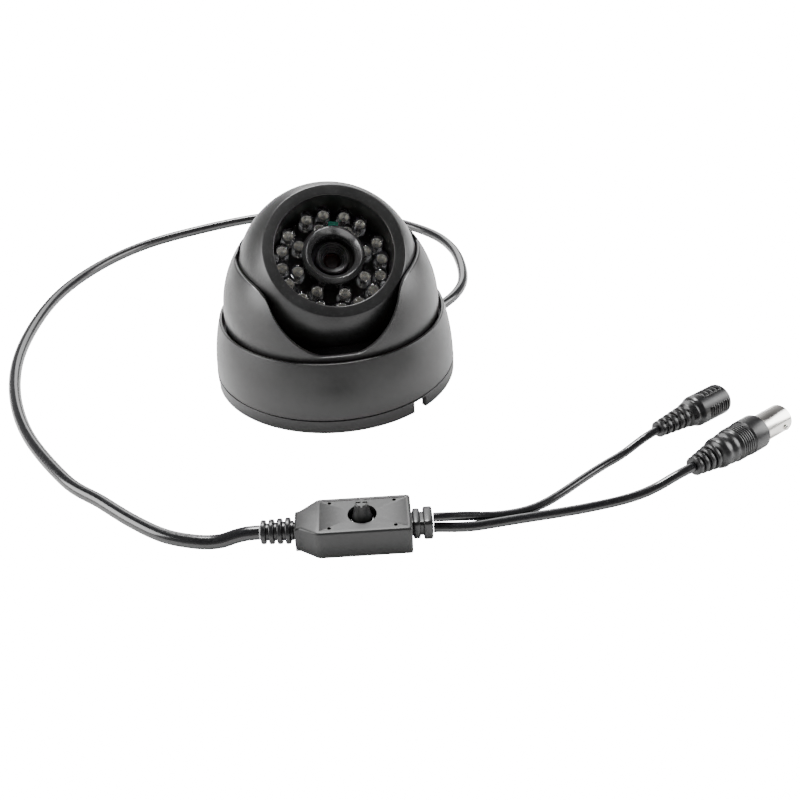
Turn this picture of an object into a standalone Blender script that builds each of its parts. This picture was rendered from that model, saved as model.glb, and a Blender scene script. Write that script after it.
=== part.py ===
"""Turret dome camera with its cable, in-line menu control and two plugs.

Lengths are in millimetres and angles in degrees; MM turns a length into metres when a mesh is made.
The camera stands on its base plate at z = 0, and the turret's open front faces -Y.
Azimuths are measured from -Y towards +X, as seen from above.
"""

import math

import bmesh
import bpy
from mathutils import Matrix, Vector

MM = 0.001
MERGE = 0.000001
GAP = 0.3
ROUND = 36
SMALL_ROUND = 16
TINY_ROUND = 8

# Base plate and drum cover
BASE_RADIUS = 47.0
SKIRT_INNER_RADIUS = 44.8
SKIRT_HEIGHT = 5.2
WEB_BOTTOM = 4.9
WEB_TOP = 6.5
WEB_RADIUS = 44.7
WEB_HOLE_RADIUS = 10.0
NOTCH_AZIMUTHS = (36.2, 156.2, 276.2)
NOTCH_WIDTH = 6.1
CABLE_AZIMUTH = 125.5
CABLE_OUTLET_WIDTH = 6.8
FIXING_HOLE_RADIUS = 2.3
FIXING_HOLE_CIRCLE = 32.2
FIXING_AZIMUTHS = (12.0, 102.0, 222.0)
HOOK_AZIMUTHS = (60.0, 180.0, 300.0)
HOOK_SWEEP = 14.0
LUG_SWEEP = 10.0
POST_CIRCLE = 38.0
POST_RADIUS = 2.8
POST_AZIMUTHS = (5.0, 95.0, 245.0)

DRUM_BOTTOM = SKIRT_HEIGHT + GAP
DRUM_TOP = 26.93
DRUM_TOP_RADIUS = 43.3
DRUM_CURVE = 2.3
DRUM_WALL = 1.7
LIP_INNER_RADIUS = 42.2
LIP_BOTTOM = 22.0

# Turret shell, which turns inside the drum cover
TURRET_CENTRE = 28.64
TURRET_RADIUS = 41.25
TURRET_WALL = 1.95
TURRET_FLANGE_RADIUS = 42.7
TURRET_FLANGE_BOTTOM = 19.9
TURRET_FLANGE_TOP = LIP_BOTTOM - GAP
TURRET_TOP = 53.6
TURRET_WALL_MEETING = 48.09
SCOOP_RADIUS = 24.0
SCOOP_CENTRE = 51.7
SCOOP_OFFSET = -0.6
RETAINER_BOTTOM = 17.3
RETAINER_TOP = TURRET_FLANGE_BOTTOM - GAP
RETAINER_INNER_RADIUS = 34.5
RETAINER_OUTER_RADIUS = 42.4

# Eyeball: its centre, size and where it looks
BALL_CENTRE = 40.65
BALL_RADIUS = 34.6
BALL_WALL = 1.8
BALL_CLEARANCE = 0.35
FACE_AZIMUTH = 6.6
FACE_ELEVATION = 47.6
FACE_TWIST = -13.5
FACE_HEIGHT = 23.25
FACE_WINDOW_RADIUS = 21.5
FACE_TUBE_RADIUS = 23.1
FACE_TUBE_BOTTOM = 5.6
FACE_SHOULDER = 21.4
BALL_SPLIT = -14.1
BALL_BACK = -27.2
SEAT_BOTTOM = 22.4
SEAT_TOP = 27.7
SEAT_RADIUS = 38.9

# Camera module inside the eyeball, heights along the optical axis
BOARD_BOTTOM = 5.9
BOARD_TOP = 7.5
BOARD_RADIUS = 21.1
BOARD_HOLE_RADIUS = 7.9
LED_BODY_RADIUS = 2.5
LED_FLANGE_RADIUS = 2.75
LED_FLANGE_HEIGHT = 1.0
LED_HEIGHT = 8.6
OUTER_LED_CIRCLE = 18.5
INNER_LED_CIRCLE = 13.3
OUTER_LED_ANGLES = (12.0, 32.5, 62.0, 82.5, 103.0, 123.5, 146.0, 168.0)
INNER_LED_ANGLES = (22.5, 67.5, 112.5, 157.5)
SENSOR_CIRCLE = 14.8
SENSOR_RADIUS = 2.1
SENSOR_TOP = 11.5
SHROUD_TOP = 20.6
SHROUD_RADIUS = 11.4
STEM_RADIUS = 9.9
HOLDER_BOTTOM = -1.8
LENS_BORE_RADIUS = 6.3
LENS_THREAD_RADIUS = 6.0
LENS_HEAD_RADIUS = 6.2
CAMERA_BOARD_SIDE = 32.0

# Cable, menu box and leads
CABLE_DIAMETER = 4.56
DC_LEAD_DIAMETER = 2.9
BNC_LEAD_DIAMETER = 3.2
BOX_CENTRE = (-1.2, -104.5)
BOX_TURN = -5.8
BOX_LENGTH = 28.8
BOX_WIDTH = 16.8
BOX_HEIGHT = 9.8
BOX_WALL = 1.3
BOX_TAPER = 7.3
BOX_NECK_WIDTH = 8.8
CABLE_AXIS_HEIGHT = 4.7
RELIEF_START = -32.2
LEAD_RELIEF_END = 20.9
KNOB_OFFSET = -0.7
KNOB_WELL_RADIUS = 4.5
KNOB_TOP = 14.2
PIN_HOLE_HALF_SPACING = (10.1, 5.9)

# Plugs: the point where the lead enters, the heading of the axis, and the sizes
DC_ENTRY = (104.6, -75.3, 5.9)
DC_HEADING = 26.0
DC_LENGTH = 32.6
DC_RADIUS = 5.85
BNC_ENTRY = (108.1, -97.8, 6.2)
BNC_HEADING = 27.0
BNC_BOOT_LENGTH = 31.8
BNC_LENGTH = 45.4
BNC_SLEEVE_RADIUS = 6.15
BNC_BARREL_RADIUS = 4.8

CABLE_ROUTE = (
    (39.0, 27.8, 2.33), (43.9, 31.4, 2.33), (49.2, 36.4, 2.33), (57.9, 46.2, 2.33),
    (64.0, 58.5, 2.33), (66.9, 76.0, 2.33), (66.4, 95.0, 2.33), (60.5, 113.0, 2.33),
    (46.5, 131.0, 2.33), (26.0, 148.5, 2.33), (0.0, 157.0, 2.33), (-28.0, 155.5, 2.33),
    (-56.0, 147.5, 2.33), (-84.0, 134.0, 2.33), (-106.0, 112.0, 2.33), (-121.5, 82.0, 2.33),
    (-128.4, 43.0, 2.33), (-126.6, 8.0, 2.33), (-116.5, -26.5, 2.33), (-98.5, -58.5, 2.33),
    (-85.1, -73.0, 2.33), (-74.0, -85.0, 2.33), (-63.5, -94.2, 2.33), (-53.5, -99.0, 2.33),
    (-46.5, -100.4, 2.5), (-41.5, -100.6, 3.8), (-37.6, -100.85, 4.6), (-33.68, -101.21, 4.7),
)
DC_LEAD_ROUTE = (
    (19.94, -106.2, 6.2), (22.9, -106.4, 6.05), (26.4, -105.9, 5.2), (32.2, -104.8, 3.5),
    (38.1, -104.0, 1.85), (44.8, -103.9, 1.5), (51.1, -103.1, 1.5), (57.2, -100.9, 1.5),
    (63.8, -97.2, 1.5), (74.3, -90.4, 1.5), (82.3, -85.5, 1.5), (90.0, -81.6, 2.0),
    (97.2, -78.4, 4.2), (100.8, -77.0, 5.3), (104.33, -75.43, 5.9),
)
BNC_LEAD_ROUTE = (
    (19.85, -107.1, 2.9), (22.9, -107.6, 2.85), (26.4, -108.0, 2.6), (32.2, -107.9, 1.9),
    (39.3, -107.4, 1.65), (44.8, -107.1, 1.65), (50.1, -106.9, 1.65), (61.0, -106.5, 1.65),
    (70.0, -105.9, 1.65), (80.8, -104.6, 1.65), (88.7, -103.0, 1.9), (95.0, -101.5, 3.0),
    (100.9, -100.3, 5.2), (104.5, -99.25, 6.0), (107.83, -97.94, 6.2),
)
CABLE_POINT_SPACING = 12.0
LEAD_POINT_SPACING = 6.5

FINISHES = {
    "satin_black": ((0.035, 0.034, 0.036, 1.0), 0.42, 0.0),
    "matt_black": ((0.02, 0.02, 0.02, 1.0), 0.6, 0.0),
    "soft_pvc": ((0.018, 0.018, 0.019, 1.0), 0.35, 0.0),
    "green_board": ((0.02, 0.09, 0.04, 1.0), 0.45, 0.0),
    "black_board": ((0.012, 0.012, 0.012, 1.0), 0.5, 0.0),
    "clear_epoxy": ((0.8, 0.8, 0.78, 1.0), 0.08, 0.0),
    "sensor_face": ((0.12, 0.42, 0.33, 1.0), 0.3, 0.0),
    "lens_glass": ((0.05, 0.03, 0.06, 1.0), 0.03, 0.0),
    "nickel": ((0.78, 0.76, 0.72, 1.0), 0.18, 1.0),
    "brass": ((0.72, 0.52, 0.22, 1.0), 0.25, 1.0),
    "white_plastic": ((0.75, 0.75, 0.72, 1.0), 0.4, 0.0),
    "zinc_screw": ((0.55, 0.55, 0.56, 1.0), 0.3, 1.0),
}


def clear_scene():
    for item in list(bpy.data.objects):
        bpy.data.objects.remove(item, do_unlink=True)


def finish_material(finish):
    material = bpy.data.materials.get(finish)
    if material is None:
        colour, roughness, metallic = FINISHES[finish]
        material = bpy.data.materials.new(finish)
        material.use_nodes = True
        shader = material.node_tree.nodes["Principled BSDF"]
        shader.inputs["Base Color"].default_value = colour
        shader.inputs["Roughness"].default_value = roughness
        shader.inputs["Metallic"].default_value = metallic
    return material


def place(name, data, finish, parent):
    """Link data as an object that carries its finish and sits in its parent's frame."""
    item = bpy.data.objects.new(name, data)
    bpy.context.scene.collection.objects.link(item)
    data.materials.append(finish_material(finish))
    item.parent = parent
    return item


def mesh_object(name, bm, finish, parent, smooth=True):
    bmesh.ops.recalc_face_normals(bm, faces=bm.faces)
    mesh = bpy.data.meshes.new(name)
    bm.to_mesh(mesh)
    bm.free()
    if smooth:
        mesh.shade_smooth()
        mesh.set_sharp_from_angle(angle=math.radians(35))
    return place(name, mesh, finish, parent)


def frame(name, matrix, parent=None):
    """Empty that holds the local frame of a group of pieces."""
    empty = bpy.data.objects.new(name, None)
    bpy.context.scene.collection.objects.link(empty)
    empty.parent = parent
    empty.matrix_local = matrix
    return empty


def turned(name, outline, finish, parent=None, segments=ROUND, centre=(0.0, 0.0)):
    """Turn an outline of (radius, height) points about the local Z axis through centre."""
    bm = bmesh.new()
    verts = [bm.verts.new((radius * MM, 0.0, height * MM)) for radius, height in outline]
    edges = [bm.edges.new(pair) for pair in zip(verts, verts[1:])]
    if outline[0][0] > 0 or outline[-1][0] > 0:
        edges.append(bm.edges.new((verts[-1], verts[0])))
    bmesh.ops.spin(bm, geom=verts + edges, cent=(0, 0, 0), axis=(0, 0, 1),
                   angle=math.tau, steps=segments, use_merge=True)
    bmesh.ops.remove_doubles(bm, verts=bm.verts, dist=MERGE)
    bmesh.ops.translate(bm, verts=bm.verts, vec=(centre[0] * MM, centre[1] * MM, 0))
    return mesh_object(name, bm, finish, parent)


def rod(name, radius, bottom, top, finish, parent=None, centre=(0.0, 0.0), segments=SMALL_ROUND):
    outline = ((0, top), (radius, top), (radius, bottom), (0, bottom))
    return turned(name, outline, finish, parent, segments, centre)


def arc(centre_radius, centre_height, radius, start, end, steps):
    """Points of a circular arc in the (radius, height) plane, angles from the +radius direction."""
    angles = [math.radians(start + (end - start) * step / steps) for step in range(steps + 1)]
    return [(centre_radius + radius * math.cos(a), centre_height + radius * math.sin(a)) for a in angles]


def sphere_arc(centre, radius, bottom, top, steps):
    """Points up a sphere centred on the axis, between two heights."""
    start = math.degrees(math.asin((bottom - centre) / radius))
    end = math.degrees(math.asin((top - centre) / radius))
    return arc(0, centre, radius, start, end, steps)


def around(azimuth, radius):
    """Point at an azimuth from -Y towards +X."""
    angle = math.radians(azimuth)
    return (radius * math.sin(angle), -radius * math.cos(angle))


def block(name, low, high, finish, parent=None, bevel=0.0):
    """Box between two corners, with its edges bevelled if asked."""
    bm = bmesh.new()
    bmesh.ops.create_cube(bm, size=1.0)
    size = [(b - a) * MM for a, b in zip(low, high)]
    middle = [(a + b) / 2 * MM for a, b in zip(low, high)]
    bmesh.ops.scale(bm, vec=size, verts=bm.verts)
    bmesh.ops.translate(bm, vec=middle, verts=bm.verts)
    if bevel:
        bmesh.ops.bevel(bm, geom=bm.edges, offset=bevel * MM, segments=1, affect="EDGES")
    return mesh_object(name, bm, finish, parent, smooth=False)


def spoke(name, azimuth, inner, outer, width, bottom, top, finish):
    """Box that runs radially between two radii at an azimuth."""
    item = block(name, (-width / 2, -outer, bottom), (width / 2, -inner, top), finish)
    item.data.transform(Matrix.Rotation(math.radians(azimuth), 4, "Z"))
    return item


def ring_block(name, section, azimuth, sweep, finish, steps=4):
    """Piece of a ring with a section of (radius, height) points, centred on an azimuth."""
    bm = bmesh.new()
    loops = []
    for step in range(steps + 1):
        at = azimuth + sweep * (step / steps - 0.5)
        loops.append([bm.verts.new((*(c * MM for c in around(at, r)), z * MM)) for r, z in section])
    for low, high in zip(loops, loops[1:]):
        for side in range(len(section)):
            bm.faces.new((low[side], low[side - 1], high[side - 1], high[side]))
    bm.faces.new(loops[0])
    bm.faces.new(loops[-1])
    return mesh_object(name, bm, finish, None, smooth=False)


def prism(name, outline, start, end, axis, finish, parent=None):
    """Extrude an outline along Y (points are X and Z) or along Z (points are X and Y)."""
    bm = bmesh.new()
    for a, b in outline:
        bm.verts.new((a * MM, start * MM, b * MM) if axis == "Y" else (a * MM, b * MM, start * MM))
    face = bm.faces.new(bm.verts)
    made = bmesh.ops.extrude_face_region(bm, geom=[face])
    moved = [v for v in made["geom"] if isinstance(v, bmesh.types.BMVert)]
    length = (end - start) * MM
    bmesh.ops.translate(bm, verts=moved, vec=(0, length, 0) if axis == "Y" else (0, 0, length))
    return mesh_object(name, bm, finish, parent, smooth=False)


def combine(target, tools, operation):
    """Boolean target with each tool, keep the result as target's mesh and remove the tools."""
    for tool in tools:
        modifier = target.modifiers.new(operation, "BOOLEAN")
        modifier.operation = operation
        modifier.solver = "EXACT"
        modifier.object = tool
    graph = bpy.context.evaluated_depsgraph_get()
    result = bpy.data.meshes.new_from_object(target.evaluated_get(graph))
    target.modifiers.clear()
    target.data = result
    for tool in tools:
        bpy.data.objects.remove(tool, do_unlink=True)
    return target


def cut(target, *tools):
    return combine(target, tools, "DIFFERENCE")


def fuse(target, *tools):
    return combine(target, tools, "UNION")


def smooth_route(route, spacing):
    """Read a Catmull-Rom curve through the route's points at an even spacing."""
    points = [Vector(point) for point in route]
    padded = [2 * points[0] - points[1], *points, 2 * points[-1] - points[-2]]
    fine = [points[0]]
    for a, b, c, d in zip(padded, padded[1:], padded[2:], padded[3:]):
        for step in range(1, 21):
            t = step / 20
            fine.append(0.5 * (2 * b + (c - a) * t + (2 * a - 5 * b + 4 * c - d) * t * t
                               + (3 * b - a - 3 * c + d) * t ** 3))
    lengths = [0.0]
    for a, b in zip(fine, fine[1:]):
        lengths.append(lengths[-1] + (b - a).length)
    count = max(2, round(lengths[-1] / spacing))
    read = []
    index = 0
    for step in range(count + 1):
        target = lengths[-1] * step / count
        while index < len(fine) - 2 and lengths[index + 1] < target:
            index += 1
        part = (target - lengths[index]) / (lengths[index + 1] - lengths[index])
        read.append(fine[index].lerp(fine[index + 1], part))
    return read


def cord(name, route, diameter, spacing, finish):
    """Round cord along a smooth curve through its route."""
    curve = bpy.data.curves.new(name, "CURVE")
    curve.dimensions = "3D"
    curve.bevel_depth = diameter / 2 * MM
    curve.bevel_resolution = 2
    curve.use_fill_caps = True
    spline = curve.splines.new("POLY")
    points = smooth_route(route, spacing)
    spline.points.add(len(points) - 1)
    for target, point in zip(spline.points, points):
        target.co = (*(point * MM), 1.0)
    return place(name, curve, finish, None)


def drum_radius(height):
    """Outer radius of the drum cover, a flat-topped curve that narrows upwards."""
    return BASE_RADIUS - (BASE_RADIUS - DRUM_TOP_RADIUS) * (height / DRUM_TOP) ** DRUM_CURVE


def make_base_plate():
    outline = (
        (BASE_RADIUS, SKIRT_HEIGHT), (BASE_RADIUS, 0), (SKIRT_INNER_RADIUS, 0),
        (SKIRT_INNER_RADIUS, 3.2), (42.6, WEB_BOTTOM), (WEB_HOLE_RADIUS, WEB_BOTTOM),
        (WEB_HOLE_RADIUS, WEB_TOP), (WEB_RADIUS, WEB_TOP), (WEB_RADIUS, SKIRT_HEIGHT),
    )
    plate = turned("base_plate", outline, "satin_black")
    foot = WEB_TOP - 0.8
    hook = ((41.0, foot), (42.7, foot), (42.7, 10.1), (44.1, 10.1), (44.1, 11.6), (41.0, 11.6))
    parts = [ring_block("hook", hook, azimuth, HOOK_SWEEP, "satin_black") for azimuth in HOOK_AZIMUTHS]
    top = RETAINER_BOTTOM - GAP
    post = ((0, 10.5), (1.4, 10.5), (1.4, top), (POST_RADIUS, top), (POST_RADIUS, foot), (0, foot))
    for azimuth in POST_AZIMUTHS:
        centre = around(azimuth, POST_CIRCLE)
        parts.append(turned("post", post, "satin_black", None, 16, centre))
    fuse(plate, *parts)
    cutters = []
    for azimuth in NOTCH_AZIMUTHS:
        cutters.append(spoke("notch", azimuth, 44.0, 50, NOTCH_WIDTH, -1, 4.7, "satin_black"))
    cutters.append(spoke("outlet", CABLE_AZIMUTH, 41.0, 50, CABLE_OUTLET_WIDTH, -1, 4.75, "satin_black"))
    cutters.append(spoke("cable_slot", CABLE_AZIMUTH, 28.0, 40.6, 5.6, 4, 8, "satin_black"))
    for azimuth in FIXING_AZIMUTHS:
        centre = around(azimuth, FIXING_HOLE_CIRCLE)
        cutters.append(rod("hole", FIXING_HOLE_RADIUS, 4, 8, "satin_black", None, centre, 16))
    return cut(plate, *cutters)


def make_grommet_and_inner_cable():
    """Grommet in the base's cable outlet, and the cable behind it, which turns up into the drum."""
    width = CABLE_OUTLET_WIDTH - 2 * GAP
    spoke("cable_grommet", CABLE_AZIMUTH, 42.9, 47.6, width, 0.1, 4.45, "soft_pvc")
    bend = 9.0
    rise = 31.0
    height = CABLE_DIAMETER / 2 + 0.05
    along = [(42.6, height), (rise + bend, height)]
    along += [(rise + bend * (1 - math.sin(a)), height + bend * (1 - math.cos(a)))
              for a in (math.radians(25), math.radians(50), math.radians(75))]
    along += [(rise, height + bend), (rise, height + bend + 2)]
    route = [(*around(CABLE_AZIMUTH, radius), z) for radius, z in along]
    cord("inner_cable", route, CABLE_DIAMETER, 3.0, "soft_pvc")


def make_drum_cover():
    heights = [DRUM_BOTTOM + (DRUM_TOP - 0.5 - DRUM_BOTTOM) * step / 5 for step in range(6)]
    outer = [(drum_radius(height), height) for height in heights]
    inner_heights = [DRUM_BOTTOM + (LIP_BOTTOM - DRUM_BOTTOM) * step / 3 for step in range(4)]
    inner = [(drum_radius(height) - DRUM_WALL, height) for height in inner_heights]
    rim = [(DRUM_TOP_RADIUS - 0.3, DRUM_TOP), (LIP_INNER_RADIUS + 0.4, DRUM_TOP)]
    lip = [(LIP_INNER_RADIUS, DRUM_TOP - 0.4), (LIP_INNER_RADIUS, LIP_BOTTOM)]
    cover = turned("drum_cover", outer + rim + lip + inner[::-1], "satin_black")
    section = ((43.0, 8.0), (45.6, 8.0), (45.6, 9.8), (43.0, 9.8))
    lugs = [ring_block("lug", section, azimuth, LUG_SWEEP, "satin_black") for azimuth in HOOK_AZIMUTHS]
    return fuse(cover, *lugs)


def make_retainer():
    """Ring under the turret's flange and the three screws that hold it to the posts."""
    ring = turned("retainer_ring", (
        (RETAINER_OUTER_RADIUS, RETAINER_TOP), (RETAINER_OUTER_RADIUS, RETAINER_BOTTOM),
        (RETAINER_INNER_RADIUS, RETAINER_BOTTOM), (RETAINER_INNER_RADIUS, RETAINER_TOP)), "matt_black")
    seat = RETAINER_TOP - 1.2
    outline = ((0, seat + 1.1), (1.8, seat + 1.1), (2.1, seat + 0.8), (2.1, seat + GAP), (1.1, seat + GAP),
               (1.1, 12.0), (0, 11.4))
    cutters = []
    for number, azimuth in enumerate(POST_AZIMUTHS, 1):
        centre = around(azimuth, POST_CIRCLE)
        cutters.append(rod("recess", 2.4, seat, RETAINER_TOP + 1, "matt_black", None, centre, TINY_ROUND))
        hole = rod("hole", 1.4, RETAINER_BOTTOM - 1, seat + 0.5, "matt_black", None, centre, TINY_ROUND)
        cutters.append(hole)
        turned(f"retainer_screw_{number}", outline, "zinc_screw", None, TINY_ROUND, centre)
    cut(ring, *cutters)


def scoop_outline():
    """Front view of the turret's opening: a round bottom whose sides flare out into the collar."""
    bowl = arc(0, SCOOP_CENTRE, SCOOP_RADIUS, 186, 354, 20)
    flare = [(24.0, 47.0), (25.4, 48.3), (27.6, 49.4), (30.2, 50.2), (33.0, 51.0), (36.0, 52.2), (45, 53.7)]
    left = [(-x, z) for x, z in reversed(flare)]
    outline = left + [point for point in bowl if point[1] < 46.2] + flare + [(45, 90), (-45, 90)]
    return [(x + SCOOP_OFFSET, z) for x, z in outline]


def make_turret_shell(pivot):
    inner_radius = TURRET_RADIUS - TURRET_WALL
    ball_room = BALL_RADIUS + BALL_CLEARANCE
    meeting = TURRET_WALL_MEETING
    outer = [(TURRET_FLANGE_RADIUS, TURRET_FLANGE_BOTTOM), (TURRET_FLANGE_RADIUS, TURRET_FLANGE_TOP),
             (TURRET_RADIUS, TURRET_FLANGE_TOP)]
    outer += sphere_arc(TURRET_CENTRE, TURRET_RADIUS, TURRET_CENTRE, TURRET_TOP, 6)
    collar = sphere_arc(BALL_CENTRE, ball_room, meeting, TURRET_TOP, 2)[::-1]
    inside = sphere_arc(TURRET_CENTRE, inner_radius, TURRET_CENTRE, meeting, 4)[::-1][1:]
    shell = turned("turret_shell", outer + collar + inside + [(inner_radius, TURRET_FLANGE_BOTTOM)],
                   "satin_black", pivot)
    return cut(shell, prism("scoop", scoop_outline(), -60, 0, "Y", "satin_black"))


def make_seat(pivot):
    """Ring with a ball-shaped seat, pressed into the turret below the eyeball."""
    seat_arc = sphere_arc(BALL_CENTRE, BALL_RADIUS + BALL_CLEARANCE, SEAT_BOTTOM, SEAT_TOP, 2)
    turned("seat_ring", seat_arc + [(SEAT_RADIUS, SEAT_TOP), (SEAT_RADIUS, SEAT_BOTTOM)],
           "matt_black", pivot)


def make_eyeball(pivot):
    edge_radius = math.sqrt(BALL_RADIUS ** 2 - FACE_HEIGHT ** 2)
    inner = BALL_RADIUS - BALL_WALL
    shoulder = FACE_SHOULDER
    outer_arc = sphere_arc(0, BALL_RADIUS, BALL_SPLIT + GAP, FACE_HEIGHT - 0.3, 6)
    inner_arc = sphere_arc(0, inner, BALL_SPLIT + GAP, shoulder, 4)[::-1]
    face = [(edge_radius - 0.5, FACE_HEIGHT), (FACE_WINDOW_RADIUS + 0.4, FACE_HEIGHT),
            (FACE_WINDOW_RADIUS, FACE_HEIGHT - 0.4), (FACE_WINDOW_RADIUS, FACE_TUBE_BOTTOM),
            (FACE_TUBE_RADIUS, FACE_TUBE_BOTTOM), (FACE_TUBE_RADIUS, shoulder)]
    turned("eyeball_front", outer_arc + face + inner_arc, "satin_black", pivot)
    back_outer = sphere_arc(0, BALL_RADIUS, BALL_BACK, BALL_SPLIT, 2)
    back_inner = sphere_arc(0, inner, BALL_BACK, BALL_SPLIT, 2)[::-1]
    turned("eyeball_rear", back_outer + back_inner, "satin_black", pivot)


def make_camera_module(pivot):
    """Infrared board with its lamps and light cell, the lens and its holder, and the camera board."""
    hole = BOARD_HOLE_RADIUS
    turned("ir_board", ((BOARD_RADIUS, BOARD_TOP), (BOARD_RADIUS, BOARD_BOTTOM),
                        (hole, BOARD_BOTTOM), (hole, BOARD_TOP)), "black_board", pivot)
    lamp_seats = [(OUTER_LED_CIRCLE, side * angle) for angle in OUTER_LED_ANGLES for side in (1, -1)]
    lamp_seats += [(INNER_LED_CIRCLE, side * angle) for angle in INNER_LED_ANGLES for side in (1, -1)]
    bottom = BOARD_TOP + GAP
    shoulder = bottom + LED_HEIGHT - LED_BODY_RADIUS
    dome = arc(0, shoulder, LED_BODY_RADIUS, 90, 0, 2)
    outline = [(0.0, dome[0][1])] + dome[1:]
    outline += [(LED_BODY_RADIUS, bottom + LED_FLANGE_HEIGHT), (LED_FLANGE_RADIUS, bottom + LED_FLANGE_HEIGHT),
                (LED_FLANGE_RADIUS, bottom), (0.0, bottom)]
    for number, (circle, angle) in enumerate(lamp_seats, 1):
        at = math.radians(90 + angle)
        centre = (circle * math.cos(at), circle * math.sin(at))
        turned(f"led_{number:02d}", outline, "clear_epoxy", pivot, TINY_ROUND, centre)
    rod("light_sensor", SENSOR_RADIUS, bottom, SENSOR_TOP, "sensor_face", pivot, (0, SENSOR_CIRCLE), 16)
    turned("lens_holder", (
        (10.1, SHROUD_TOP), (SHROUD_RADIUS, 18.8), (SHROUD_RADIUS, 18.0), (STEM_RADIUS, 16.9),
        (STEM_RADIUS, bottom), (hole - GAP, bottom), (hole - GAP, HOLDER_BOTTOM),
        (LENS_BORE_RADIUS, HOLDER_BOTTOM), (LENS_BORE_RADIUS, 12.0), (8.0, 12.0), (8.0, 18.3),
        (9.8, SHROUD_TOP)), "matt_black", pivot, SMALL_ROUND)
    half = CAMERA_BOARD_SIDE / 2
    top = HOLDER_BOTTOM - GAP
    block("camera_board", (-half, -half, top - 1.6), (half, half, top), "green_board", pivot)
    block("image_sensor", (-3.6, -3.6, top + GAP), (3.6, 3.6, top + 1.3), "black_board", pivot)


def make_lens(pivot):
    """Screw-in lens barrel and its front glass, which turn together to focus."""
    turned("lens_barrel", (
        (LENS_HEAD_RADIUS, 16.2), (LENS_HEAD_RADIUS, 12.4), (LENS_THREAD_RADIUS, 12.4), (LENS_THREAD_RADIUS, 1.0),
        (4.4, 1.0), (4.4, 12.2), (3.9, 12.6), (4.7, 14.6), (5.5, 16.2)), "matt_black", pivot, SMALL_ROUND)
    glass = arc(0, 7.4, 5.9, 90, 52, 3)
    outline = [(0.0, glass[0][1])] + glass[1:] + [(3.55, 10.4), (0.0, 10.4)]
    turned("lens_glass", outline, "lens_glass", pivot, SMALL_ROUND)


def box_outline(shrink):
    """Plan of the menu box: a rectangle whose cable end tapers to a neck."""
    right = BOX_LENGTH / 2 - shrink
    side = BOX_WIDTH / 2 - shrink
    neck = BOX_NECK_WIDTH / 2 - shrink
    left = -BOX_LENGTH / 2
    end = left - BOX_TAPER + shrink
    corner = 1.2
    return [(right - corner, -side), (right, -side + corner), (right, side - corner), (right - corner, side),
            (left + 1, side), (left - 2, side - 1.1), (end + 1.5, neck + 0.2), (end, neck),
            (end, -neck), (end + 1.5, -neck - 0.2), (left - 2, -side + 1.1), (left + 1, -side)]


def make_menu_box(pivot):
    housing = prism("box_housing", box_outline(0), 0.0, BOX_HEIGHT, "Z", "satin_black", pivot)
    roof = BOX_HEIGHT - BOX_WALL
    hollow = prism("hollow", box_outline(BOX_WALL), -1, roof, "Z", "satin_black", pivot)
    well = rod("well", KNOB_WELL_RADIUS, roof - 1, BOX_HEIGHT + 1, "satin_black", pivot, (KNOB_OFFSET, 0))
    cutters = [hollow, well]
    right = BOX_LENGTH / 2
    cutters.append(block("lead_port", (right - 3, -3.7, 1.3), (right + 3, 3.7, 7.5), "satin_black", pivot))
    left = -right - BOX_TAPER
    cutters.append(block("cable_port", (left - 3, -2.8, 1.9), (left + 3, 2.8, 7.5), "satin_black", pivot))
    across, along = PIN_HOLE_HALF_SPACING[1], PIN_HOLE_HALF_SPACING[0]
    for x in (KNOB_OFFSET - along, KNOB_OFFSET + along):
        for y in (-across, across):
            cutters.append(rod("pin_hole", 0.6, roof + 0.6, BOX_HEIGHT + 1, "satin_black", pivot, (x, y), 8))
    bpy.context.view_layer.update()
    cut(housing, *cutters)
    prism("box_cover", box_outline(BOX_WALL + GAP), 0.0, 1.2, "Z", "satin_black", pivot)
    block("box_board", (-12.2, -6.3, 2.0), (11.6, 6.3, 3.2), "green_board", pivot)
    switch = block("joystick_switch", (-4.2, -3.5, 3.5), (2.8, 3.5, 6.3), "zinc_screw", pivot)
    bore = rod("bore", 2.7, 4.2, 7.5, "zinc_screw", pivot, (KNOB_OFFSET, 0), 16)
    bpy.context.view_layer.update()
    cut(switch, bore)


def make_joystick(pivot):
    """Cradle that rocks along the box, stem that rocks across it, and the knob that presses down."""
    turned("joystick_cradle", ((2.4, 6.1), (2.4, 4.9), (1.75, 4.9), (1.75, 6.1)), "white_plastic", pivot, 16)
    rod("joystick_stem", 1.2, 4.6, 7.3, "zinc_screw", pivot, segments=TINY_ROUND)
    foot = 7.9
    outline = [(0, KNOB_TOP), (1.7, KNOB_TOP), (2.0, KNOB_TOP - 0.4), (2.3, KNOB_TOP - 2.2),
               (2.8, BOX_HEIGHT + 0.2), (3.3, foot), (0, foot)]
    knob = turned("joystick_knob", outline, "matt_black", pivot, SMALL_ROUND)
    slots = [block("slot", (-4, -0.35, KNOB_TOP - 0.5), (4, 0.35, KNOB_TOP + 1), "matt_black", pivot),
             block("slot", (-0.35, -4, KNOB_TOP - 0.5), (0.35, 4, KNOB_TOP + 1), "matt_black", pivot)]
    bpy.context.view_layer.update()
    cut(knob, *slots)


def ribbed_outline(start, end, start_radius, end_radius, ribs, groove):
    """Side of a strain relief from start to end: ribs with grooves between them."""
    points = []
    pitch = (end - start) / ribs
    for rib in range(ribs):
        low = start + rib * pitch
        radius = start_radius + (end_radius - start_radius) * (rib + 0.5) / ribs
        land = pitch * 0.62
        points += [(radius, low), (radius, low + land), (radius - groove, low + land + 0.15),
                   (radius - groove, low + pitch - 0.15)]
    return points


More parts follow.
